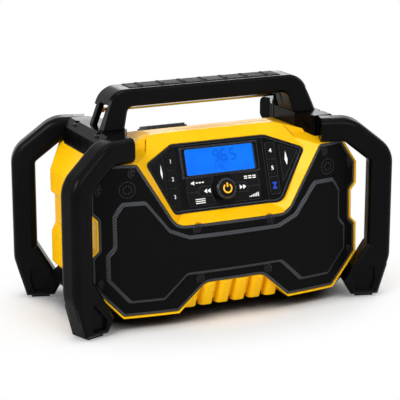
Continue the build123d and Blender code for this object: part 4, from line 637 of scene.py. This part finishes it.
def outline_plate(name: str, corners: Sequence[Point], height: float) -> Piece:
    """Makes a plate from a closed outline in its own XY plane.

    Args:
        name: the piece's name.
        corners: the outline's corners.
        height: the plate's thickness along +Z, or 0 for a bare face.

    Returns:
        The plate, at the origin.
    """
    curve = bpy.data.curves.new(name, "CURVE")
    curve.dimensions = "2D"
    curve.fill_mode = "BOTH"
    spline = curve.splines.new("POLY")
    spline.points.add(len(corners) - 1)
    for point, (x, y) in zip(spline.points, corners):
        point.co = (x * MM, y * MM, 0.0, 1.0)
    spline.use_cyclic_u = True
    piece = linked(name, curve)
    only(piece)
    bpy.ops.object.convert(target="MESH")
    edit(piece)
    bpy.ops.mesh.remove_doubles(threshold=1e-6)
    bpy.ops.mesh.dissolve_faces()
    if piece.data.polygons and piece.data.polygons[0].normal.z < 0:
        bpy.ops.mesh.flip_normals()
    if height:
        thicken(height)
    done()
    return piece


# The share of an edge that a corner's arc may take, and how many steps a plain and a large arc have.
ARC_SHARE = 0.48
ARC_STEPS = 4
LARGE_ARC_STEPS = 10


def rounded(corners: Sequence[Corner], radius: float) -> list[Point]:
    """Rounds each corner of an outline with an arc.

    Args:
        corners: the sharp corners, each with its own radius as a third number where it has one.
        radius: the radius at the other corners, less where an edge is too short.

    Returns:
        The rounded outline's corners.
    """
    made: list[Point] = []
    for i, corner in enumerate(corners):
        here = Vector(corner[:2])
        before = Vector(corners[i - 1][:2]) - here
        after = Vector(corners[(i + 1) % len(corners)][:2]) - here
        half = before.angle(after) / 2
        wanted = corner[2] if len(corner) > 2 else radius
        back = min(wanted / math.tan(half), before.length * ARC_SHARE, after.length * ARC_SHARE)
        middle = here + (before.normalized() + after.normalized()).normalized() * (back / math.cos(half))
        start, end = here + before.normalized() * back - middle, here + after.normalized() * back - middle
        steps = LARGE_ARC_STEPS if wanted > radius else ARC_STEPS
        for k in range(steps + 1):
            point = middle + start.slerp(end, k / steps) * start.length
            made.append((point.x, point.y))
    return made


def mirrored(right: Sequence[Corner]) -> list[Corner]:
    """Closes an outline from its right half, listed from the top of the middle line down."""
    return list(right) + [(-corner[0], *corner[1:]) for corner in reversed(right)]


def joined(name: str, pieces: Sequence[Piece]) -> Piece:
    """Joins pieces into one mesh object of the given name."""
    bpy.ops.object.select_all(action="DESELECT")
    for piece in pieces:
        piece.select_set(True)
    bpy.context.view_layer.objects.active = pieces[0]
    if len(pieces) > 1:
        bpy.ops.object.join()
    pieces[0].name = name
    pieces[0].data.name = name
    return pieces[0]


def settled(piece: Piece, place: Matrix) -> Piece:
    """Moves a piece to its place and puts that place into its mesh."""
    only(piece)
    piece.matrix_world = place
    bpy.ops.object.transform_apply(location=True, rotation=True, scale=True)
    return piece


def copied(piece: Piece, place: Matrix) -> Piece:
    """Copies a piece with its own mesh and settles the copy in a place."""
    return settled(linked(piece.name, piece.data.copy()), place)


def added() -> Piece:
    """The primitive that was just added, with its place put into its mesh."""
    bpy.ops.object.transform_apply(location=True, rotation=True, scale=True)
    return bpy.context.object


def applied(piece: Piece, kind: str, **settings: Any) -> None:
    """Adds a modifier with its settings and applies it."""
    only(piece)
    modifier = piece.modifiers.new(kind.lower(), kind)
    for name, value in settings.items():
        setattr(modifier, name, value)
    bpy.ops.object.modifier_apply(modifier=modifier.name)


def finished(piece: Piece, finish: Finish, body: str = BODY, angle: float = 30.0) -> Piece:
    """Gives a new piece its finish, shading and body.

    Args:
        piece: the mesh object, with its place in its mesh.
        finish: its finish.
        body: the body that it moves with.
        angle: edges sharper than this stay sharp.

    Returns:
        The piece.
    """
    piece.data.materials.clear()
    piece.data.materials.append(finish.material())
    only(piece)
    bpy.ops.object.shade_smooth_by_angle(angle=math.radians(angle))
    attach(piece, body)
    LOG.info("%s rides on %s in %s", piece.name, body, finish.name)
    return piece


# ---- sub-assemblies
@dataclass
class PackedPieces:
    """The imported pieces, which get the finish of their material slot."""

    finishes: dict[str, Finish]

    def dress(self) -> None:
        """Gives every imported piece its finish."""
        for row in frame["record"]["subparts"]:
            piece = frame["nodes"][row["node"]]
            finish = self.finishes[row["material_slot"]]
            made = finish.material()
            if not piece.material_slots:
                piece.data.materials.append(made)
            for socket in piece.material_slots:
                socket.material = made
            LOG.info("%s dressed in %s", piece.name, finish.name)


@dataclass(frozen=True)
class PressedField:
    """A flat field of the grille with a sloping edge round it, by the right half of its outline."""

    name: str
    outline: tuple[Corner, ...]
    corner: float
    slope: float
    rise: float
    level: float

    def build(self) -> Piece:
        """Makes the field, upright and flat, standing `level` in front of the front face."""
        piece = outline_plate(self.name, rounded(mirrored(self.outline), self.corner), 0.0)
        edit(piece)
        bpy.ops.mesh.inset(thickness=self.slope * MM, depth=self.rise * MM, use_boundary=True)
        done()
        return settled(piece, FRONT.place(z=self.level - self.rise))


@dataclass
class Grille:
    """The perforated steel grille: an edge that turns back, a flat field and a raised field."""

    thickness: float = 0.9
    strip: float = 9.0
    smooth_angle: float = 12.0
    fields: tuple[PressedField, ...] = (
        PressedField(
            "grille_field",
            (
                (71.0, 116.4, 18.0), (117.0, 191.5), (146.5, 192.6), (150.7, 191.4), (170.8, 163.0),
                (170.8, 138.4), (162.8, 130.4), (162.8, 95.5), (170.8, 87.5), (170.8, 52.3),
                (136.1, 15.7), (71.0, 15.7), (37.0, 46.0, 16.0),
            ),
            corner=4.0, slope=4.0, rise=1.3, level=FIELD_LEVEL,
        ),
        PressedField(
            "grille_dome",
            (
                (57.0, 104.5), (80.0, 114.0), (108.0, 149.5), (137.0, 149.5), (147.0, 134.0), (147.0, 99.0),
                (155.5, 89.0), (155.5, 60.0), (130.0, 31.0), (88.0, 31.0), (60.0, 57.5),
            ),
            corner=6.0, slope=4.2, rise=3.6, level=DOME_LEVEL,
        ),
    )

    def cut_into_strips(self, sheet: Piece) -> None:
        """Cuts the flat sheet both ways, so that it can follow the curve."""
        reach = int(max(max(corner[:2]) for corner in self.fields[0].outline) / self.strip) + 1
        edit(sheet)
        for way in (UP, ACROSS):
            for step in range(-reach, reach + 1):
                bpy.ops.mesh.select_all(action="SELECT")
                bpy.ops.mesh.bisect(plane_co=way * (step * self.strip * MM), plane_no=way)
        done()

    def build(self) -> Piece:
        """Builds the grille and gives it its place and finish."""
        sheet = joined("grille_sheet", [field.build() for field in self.fields])
        self.cut_into_strips(sheet)
        CURVE.bend(sheet)
        applied(sheet, "SOLIDIFY", thickness=self.thickness * MM, offset=-1.0)
        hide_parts("grille")
        return finished(sheet, GRILLE_STEEL, angle=self.smooth_angle)


@dataclass
class TweeterVent:
    """The pressed rings of beads in the grille over one tweeter."""

    name: str
    x: float
    z: float = 163.5
    rings: tuple[tuple[float, int], ...] = ((9.2, 20), (4.6, 10))
    bead: float = 0.75
    flatness: float = 0.6

    def build(self) -> Piece:
        """Builds the beads, half sunk in the sheet."""
        beads = []
        for radius, count in self.rings:
            bpy.ops.mesh.primitive_uv_sphere_add(
                segments=8, ring_count=5, radius=self.bead * MM, location=(radius * MM, 0.0, 0.0)
            )
            bpy.context.object.scale.z = self.flatness
            first = added()
            for i in range(count):
                beads.append(copied(first, Matrix.Rotation(math.tau * i / count, 4, "Z")))
            bpy.data.objects.remove(first)
        ring = joined(self.name, beads)
        settled(ring, FRONT.place(self.x, self.z, FIELD_LEVEL))
        CURVE.bend(ring)
        # Painted highlight: the beads are mid grey, lighter than the black sheet round them.
        return finished(ring, BEAD_HIGHLIGHT)


class Recess(Enum):
    """The kinds of recess in a screw's head, by the points that they have."""

    CROSS = 4
    STAR = 6


# How far a face's normal must point along an axis to count as facing that way.
FACING = 0.9
# In shares of the head's radius: a cross's arm and half its width, and a star's two radii.
CROSS_SHARES = (0.62, 0.16)
STAR_SHARES = (0.52, 0.34)


@dataclass
class Screws:
    """One kind of screw, modelled once and copied to its places."""

    node: str
    face: Face
    places: tuple[Spot, ...]
    head: float
    head_height: float
    shank: float
    length: float
    recess: Recess
    collar: float = 0.0
    collar_wire: float = 0.5
    collar_share: float = 0.45
    spin: Point = (0.7, 0.3)
    edge_share: float = 0.3
    depth_share: float = 0.6

    def recess_outline(self) -> list[Point]:
        """The outline of the recess in the head."""
        if self.recess is Recess.CROSS:
            arm, half = (self.head * share for share in CROSS_SHARES)
            quarter = [(arm, -half), (arm, half), (half, half), (half, arm), (-half, arm), (-half, half)]
            return quarter + [(-x, -y) for x, y in quarter]
        radii = [self.head * share for share in STAR_SHARES]
        step = math.pi / self.recess.value
        turns = range(2 * self.recess.value)
        return [(radii[i % 2] * math.cos(step * i), radii[i % 2] * math.sin(step * i)) for i in turns]

    def cut_recess(self, screw: Piece) -> None:
        """Cuts the recess into the head's top."""
        cutter = outline_plate("recess", self.recess_outline(), self.head_height)
        settled(cutter, ROOF.place(z=-self.head_height * self.depth_share))
        applied(screw, "BOOLEAN", operation="DIFFERENCE", object=cutter, solver="EXACT")
        bpy.data.objects.remove(cutter)

    def one(self) -> Piece:
        """Models one screw with its head's top at Z 0 and its shank down."""
        bpy.ops.object.select_all(action="DESELECT")
        low = -self.head_height * MM
        bpy.ops.mesh.primitive_cylinder_add(
            vertices=28, radius=self.head * MM, depth=-low, location=(0.0, 0.0, low / 2)
        )
        screw = added()
        edit(screw, lambda face: face.normal.z > FACING)
        bpy.ops.mesh.bevel(offset=self.head_height * self.edge_share * MM, segments=2, affect="EDGES")
        done()
        edit(screw, lambda face: face.normal.z < -FACING)
        bpy.ops.mesh.inset(thickness=(self.head - self.shank) * MM)
        extrude(-self.length)
        done()
        self.cut_recess(screw)
        if not self.collar:
            return screw
        bpy.ops.mesh.primitive_torus_add(
            major_radius=self.collar * MM, minor_radius=self.collar_wire * MM, major_segments=32,
            minor_segments=6, location=(0.0, 0.0, low * self.collar_share),
        )
        return joined("screw", [screw, added()])

    def build(self) -> Piece:
        """Copies the screw to every place, each turned its own way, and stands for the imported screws."""
        first = self.one()
        copies = []
        for x, y, z in self.places:
            spin = Matrix.Rotation(self.spin[0] * x + self.spin[1] * y, 4, "Z")
            copies.append(copied(first, self.face.place(x, y, z) @ spin))
        bpy.data.objects.remove(first)
        group = joined(f"{self.node}_heads", copies)
        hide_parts(self.node)
        return finished(group, SCREW_PAINT)


# The grille's screws on the right, as x and height, and how far their heads stand in front of the face.
GRILLE_SCREWS = ((160.0, 164.5), (122.0, 182.5), (160.0, 55.0), (46.0, 110.3), (42.5, 51.5))
GRILLE_SCREW_LEVEL = -0.4


def screw_kinds() -> tuple[Screws, ...]:
    """The grille's, the roll cage's and the handle's screws."""
    in_grille = tuple(
        (side * x, z, GRILLE_SCREW_LEVEL - CURVE.y(x, z)) for x, z in GRILLE_SCREWS for side in (1, -1)
    )
    in_cage = tuple((side * 146.0, end * 34.0, 220.0) for side in (1, -1) for end in (1, -1))
    in_handle = tuple((-x, 255.0, 14.0) for x in (-84.0, -28.0, 28.0, 84.0))
    return (
        Screws(
            "grille_screws", FRONT, in_grille, head=4.2, head_height=1.6, shank=1.6, length=10.0,
            recess=Recess.STAR, collar=5.9,
        ),
        Screws(
            "cage_screws", ROOF, in_cage, head=4.2, head_height=3.0, shank=2.0, length=32.0,
            recess=Recess.CROSS,
        ),
        Screws(
            "handle_screws", BACK, in_handle, head=3.6, head_height=3.0, shank=1.8, length=18.0,
            recess=Recess.CROSS,
        ),
    )


# ---- marks and display
# How thick the ink stands, the sweep of one step of an arc, and the fewest steps that an arc has.
INK = 0.06
SWEEP_STEP = 10.0
LEAST_STEPS = 8


def bar(x: float, y: float, width: float, height: float) -> Piece:
    """Makes a flat bar about (x, y)."""
    w, h = width / 2, height / 2
    return outline_plate("bar", [(x - w, y - h), (x + w, y - h), (x + w, y + h), (x - w, y + h)], INK)


def arc(radius: float, width: float, start: float, sweep: float) -> Piece:
    """Sweeps a flat arc about the origin, by its middle radius, width, first angle and sweep."""
    steps = max(LEAST_STEPS, int(sweep / SWEEP_STEP))
    angles = [math.radians(start + sweep * i / steps) for i in range(steps + 1)]
    far, near = radius + width / 2, radius - width / 2
    outer = [(far * math.cos(a), far * math.sin(a)) for a in angles]
    inner = [(near * math.cos(a), near * math.sin(a)) for a in reversed(angles)]
    return outline_plate("arc", outer + inner, INK)


@dataclass(frozen=True)
class Glyph:
    """A mark's flat parts, about its own middle.

    A shape is a filled outline. An arc has a middle radius, a width, a first angle and a sweep. A bar has
    its middle across and up, a width and a height.
    """

    shapes: tuple[tuple[Point, ...], ...] = ()
    arcs: tuple[Sizes, ...] = ()
    bars: tuple[Sizes, ...] = ()

    def parts(self) -> list[Piece]:
        """Makes the parts."""
        shapes = [outline_plate("shape", corners, INK) for corners in self.shapes]
        return shapes + [arc(*sizes) for sizes in self.arcs] + [bar(*sizes) for sizes in self.bars]


MUTE = Glyph(
    shapes=(((-8.2, -1.0), (-6.6, -1.0), (-4.2, -2.4), (-4.2, 2.4), (-6.6, 1.0), (-8.2, 1.0)),),
    bars=tuple((x, 0.0, 2.8, 1.2) for x in (-0.8, 3.0, 6.8)),
)
MENU = Glyph(bars=tuple((0.0, y, 12.5, 0.9) for y in (-2.3, 0.0, 2.3)))
MODE = Glyph(bars=tuple((x, y, 4.2, 1.2) for x in (-5.6, 0.0, 5.6) for y in (1.15, -1.15)))
SCAN = Glyph(bars=tuple((-5.5 + 2.2 * i, -1.6 + 0.35 * i, 1.25, 1.2 + 0.7 * i) for i in range(6)))
BACKWARD = Glyph(shapes=tuple(((-x, -2.7), (-x - 4.0, 0.0), (-x, 2.7)) for x in (-4.2, 0.2)))
FORWARD = Glyph(shapes=tuple(((x, -2.7), (x + 4.0, 0.0), (x, 2.7)) for x in (-4.2, 0.2)))
NEEDLE = Glyph(shapes=(((-1.7, -1.4), (0.3, -8.0), (1.7, -1.4), (0.0, 8.6)),))
WIRELESS = Glyph(
    arcs=((0.45, 0.85, 0.0, 355.0),)
    + tuple((radius, 0.75, start, 90.0) for radius in (2.1, 3.7) for start in (45.0, 225.0))
)
POWER = Glyph(arcs=((5.0, 1.7, 125.0, 290.0),), bars=((0.0, 4.1, 1.9, 5.2),))

# How far the keys' tops and the power button's top stand over the panel.
KEY_TOP = 1.0
POWER_TOP = 10.8
# Where the preset keys' column and its rows are on a wing, and where a rocker's middle is.
COLUMN = 8.7
ROWS = (38.2, 17.6, -3.0)
ROCKER_X, ROCKER_Y = 26.0, 27.0


@dataclass(frozen=True)
class Label:
    """A mark printed on a key: its middle on a face, the key's body, its ink and the key's top."""

    glyph: Glyph
    face: Face
    x: float
    y: float
    body: str
    ink: Finish = WHITE_INK
    z: float = KEY_TOP

    def build(self) -> Piece:
        """Prints the mark."""
        piece = joined("mark_" + self.body.rsplit("_", 1)[0], self.glyph.parts())
        settled(piece, self.face.place(self.x, self.y, self.z))
        return finished(piece, self.ink, self.body)


@dataclass(frozen=True)
class PresetNumber:
    """A plain number printed on a preset key: its middle on a face, its height and its extra boldness."""

    text: str
    face: Face
    x: float
    y: float
    height: float = 6.4
    bolder: float = 0.12

    def build(self) -> Piece:
        """Prints the number."""
        body = f"preset_key_{self.text}"
        bpy.ops.object.select_all(action="DESELECT")
        bpy.ops.object.text_add()
        text = bpy.context.object.data
        text.body = self.text
        text.size = self.height * MM
        text.align_x = "CENTER"
        text.align_y = "CENTER"
        text.offset = self.bolder * MM
        bpy.ops.object.convert(target="MESH")
        piece = bpy.context.object
        edit(piece)
        thicken(INK)
        done()
        piece.name = f"mark_{body}"
        settled(piece, self.face.place(self.x, self.y, KEY_TOP))
        return finished(piece, WHITE_INK, body)


# A digit's segments: the middle in shares of its width and height, and whether it stands upright.
SEGMENTS: dict[str, tuple[float, float, bool]] = {
    "a": (0.0, 0.5, False),
    "b": (0.5, 0.25, True),
    "c": (0.5, -0.25, True),
    "d": (0.0, -0.5, False),
    "e": (-0.5, -0.25, True),
    "f": (-0.5, 0.25, True),
    "g": (0.0, 0.0, False),
}
LIT = {"0": "abcdef", "1": "bc", "4": "fgbc", "5": "afgcd", "6": "afgedc", "9": "abcdfg"}


@dataclass(frozen=True)
class Readout:
    """A number on the display in seven-segment digits, from its right end.

    A digit's width, stroke and upright segments are shares of its height. Its flat segments and the steps
    to the next sign are shares of its width.
    """

    name: str
    text: str
    right: float
    level: float
    height: float
    depth: float = 1.2
    width_share: float = 0.5
    stroke_share: float = 0.13
    upright_share: float = 0.42
    flat_share: float = 0.78
    digit_step: float = 1.55
    point_step: float = 0.35

    def signs(self) -> list[Piece]:
        """Makes the lit segments and points, from the right."""
        wide, thick = self.height * self.width_share, self.height * self.stroke_share
        upright, flat = (thick, self.height * self.upright_share), (wide * self.flat_share, thick)
        pieces = []
        x = self.right - wide / 2
        for sign in reversed(self.text):
            if sign == ".":
                pieces.append(bar(x + wide * self.point_step, -self.height / 2, thick, thick))
                x -= wide * self.point_step
                continue
            for letter in LIT[sign]:
                dx, dy, stands = SEGMENTS[letter]
                pieces.append(bar(x + dx * wide, dy * self.height, *(upright if stands else flat)))
            x -= wide * self.digit_step
        return pieces

    def build(self) -> Piece:
        """Shows the number on the display."""
        number = joined(self.name, self.signs())
        settled(number, MIDDLE.place(0.0, self.level, -self.depth))
        return finished(number, CRYSTAL_SEGMENT)


@dataclass
class ControlPanel:
    """The numbers and marks printed on the keys, and what the display shows."""

    numbers: tuple[PresetNumber, ...] = tuple(
        PresetNumber(text, face, x, y)
        for texts, face, x in (("123", LEFT_WING, -COLUMN), ("45", RIGHT_WING, COLUMN))
        for text, y in zip(texts, ROWS)
    )
    labels: tuple[Label, ...] = (
        Label(MUTE, MIDDLE, -33.0, 10.6, "mute_key"),
        Label(MENU, MIDDLE, -32.0, -10.8, "menu_key"),
        Label(MODE, MIDDLE, 35.0, 10.6, "mode_key"),
        Label(SCAN, MIDDLE, 37.5, -10.8, "scan_key"),
        Label(BACKWARD, MIDDLE, -22.0, 0.0, "seek_back_key"),
        Label(FORWARD, MIDDLE, 24.5, 0.0, "seek_forward_key"),
        Label(WIRELESS, RIGHT_WING, COLUMN, ROWS[2], "wireless_key", BLUE_INK),
        Label(NEEDLE, LEFT_WING, -ROCKER_X, ROCKER_Y, "volume_rocker"),
        Label(NEEDLE, RIGHT_WING, ROCKER_X, ROCKER_Y, "tuning_rocker"),
        Label(POWER, MIDDLE, 0.0, 0.0, "power_button", AMBER_INK, POWER_TOP),
    )
    readouts: tuple[Readout, ...] = (
        Readout("display_frequency", "96.5", right=21.0, level=40.0, height=12.5),
        Readout("display_clock", "10.45", right=4.0, level=26.5, height=5.0),
    )

    def build(self) -> None:
        """Prints every key and lights the display."""
        for piece in (*self.numbers, *self.labels, *self.readouts):
            piece.build()


# ---- studio
def aimed(name: str, data: bpy.types.ID, turn: Point, distance: float, target: Spot) -> Piece:
    """Hangs a lamp or a camera round a target and aims it at that.

    Args:
        name: the object's name.
        data: the lamp or the camera.
        turn: the azimuth and elevation that it's seen at from the target.
        distance: how far it is from the target, in metres.
        target: the target, in metres.

    Returns:
        The aimed object.
    """
    azimuth, elevation = (math.radians(angle) for angle in turn)
    level = math.cos(elevation)
    way = Vector((math.sin(azimuth) * level, -math.cos(azimuth) * level, math.sin(elevation)))
    piece = linked(name, data)
    piece.location = Vector(target) + way * distance
    piece.rotation_euler = way.to_track_quat("Z", "Y").to_euler()
    return piece


@dataclass(frozen=True)
class Lamp:
    """A square soft box: azimuth and elevation, distance and side in metres, and light on a facing sheet."""

    name: str
    turn: Point
    distance: float
    side: float
    level: float
    target: Spot = (0.0, 0.0, 0.12)

    def build(self) -> Piece:
        """Hangs the soft box so that it faces the radio."""
        data = bpy.data.lights.new(self.name, "AREA")
        data.shape = "SQUARE"
        data.size = self.side
        data.energy = self.level * math.pi**2 * self.distance**2
        return aimed(self.name, data, self.turn, self.distance, self.target)


@dataclass
class Studio:
    """A pale floor with a painted shadow, soft boxes, a white surround, and the camera. Lengths here are in
    metres.
    """

    turn: Point = (-25.53, 15.06)
    distance: float = 1.8838
    target: Spot = (-0.002, 0.0, 0.1187)
    lens: float = 140.94
    sensor: float = 36.0
    far_clip: float = 50.0
    floor_size: float = 9.0
    floor_grey: str = "#F2F2F2"
    painted_shadow_grey: str = "#2A2A2A"
    painted_shadow_reach: float = 0.045
    painted_shadow_range: Point = (0.2, 0.85)
    shadow_half: Point = (0.24, 0.17)
    fade_range: Point = (0.62, 1.3)
    ambient: float = 0.5
    lamps: tuple[Lamp, ...] = (
        Lamp("key_box", (-62.0, 34.0), 2.3, 0.9, 0.55),
        Lamp("front_box", (6.0, 30.0), 2.4, 0.9, 0.2),
        Lamp("top_box", (0.0, 80.0), 2.0, 0.9, 0.14),
        Lamp("edge_box", (120.0, 28.0), 2.2, 0.6, 0.22),
        Lamp("back_box", (156.0, 21.0), 2.2, 0.8, 0.1),
    )

    def paint(self) -> bpy.types.Material:
        """Makes the floor's paint, with a painted shadow near the radio, fading into the white surround away
        from it.
        """
        made = blank_material("painted_floor")
        tree = made.node_tree
        place = add_node(tree, "ShaderNodeTexCoord").outputs["Object"]
        spread = (1 / self.shadow_half[0], 1 / self.shadow_half[1], 1.0)
        far = add_vector(tree, "LENGTH", add_vector(tree, "MULTIPLY", place, spread))
        # Painted shadow: the floor turns towards a dark grey where ambient occlusion finds the radio close.
        hidden = add_node(tree, "ShaderNodeAmbientOcclusion", {"Distance": self.painted_shadow_reach}, samples=8)
        shade = add_ramp(tree, hidden.outputs["AO"], *self.painted_shadow_range)
        grey = add_blend(tree, shade, linear(self.painted_shadow_grey), linear(self.floor_grey))
        factor = add_math(tree, "MULTIPLY", add_seen(tree), add_ramp(tree, far, *self.fade_range))
        paint = add_node(tree, "ShaderNodeBsdfDiffuse", {"Color": grey}).outputs[0]
        white = add_node(tree, "ShaderNodeEmission", {"Color": WHITE, "Strength": 1.0}).outputs[0]
        mixed = add_node(tree, "ShaderNodeMixShader", {0: factor, 1: paint, 2: white}).outputs[0]
        add_node(tree, "ShaderNodeOutputMaterial", {"Surface": mixed})
        return made

    def floor(self) -> Piece:
        """Lays the pale floor."""
        bpy.ops.object.select_all(action="DESELECT")
        bpy.ops.mesh.primitive_plane_add(size=self.floor_size)
        piece = bpy.context.object
        piece.name = "studio_floor"
        piece.data.materials.append(self.paint())
        return piece

    def surround(self) -> None:
        """Sets the white surround, dimmer as a light than it looks."""
        world = bpy.data.worlds.new("studio_white")
        bpy.context.scene.world = world
        world.use_nodes = True
        tree = world.node_tree
        tree.nodes.clear()
        level = add_ramp(tree, add_seen(tree), 0.0, 1.0, self.ambient, 1.0)
        light = add_node(tree, "ShaderNodeBackground", {"Color": WHITE, "Strength": level})
        add_node(tree, "ShaderNodeOutputWorld", {"Surface": light.outputs[0]})

    def camera(self) -> Piece:
        """Sets the camera."""
        data = bpy.data.cameras.new("camera")
        data.sensor_width = self.sensor
        data.lens = self.lens
        data.clip_end = self.far_clip
        camera = aimed("camera", data, self.turn, self.distance, self.target)
        bpy.context.scene.camera = camera
        return camera

    def build(self) -> None:
        """Builds the studio."""
        self.floor()
        self.surround()
        for lamp in self.lamps:
            lamp.build()
        self.camera()
        bpy.context.scene.view_settings.view_transform = "Standard"
        LOG.info("studio with %d lamps", len(self.lamps))


def main() -> None:
    """Builds the studio and every piece in order."""
    logging.basicConfig(level=logging.INFO, format="%(name)s: %(message)s")
    Studio().build()
    PackedPieces(SLOT_FINISH).dress()
    Grille().build()
    for name, x in (("tweeter_vent_right", 129.0), ("tweeter_vent_left", -129.0)):
        TweeterVent(name, x).build()
    for screws in screw_kinds():
        screws.build()
    ControlPanel().build()


if __name__ == "__main__":
    main()
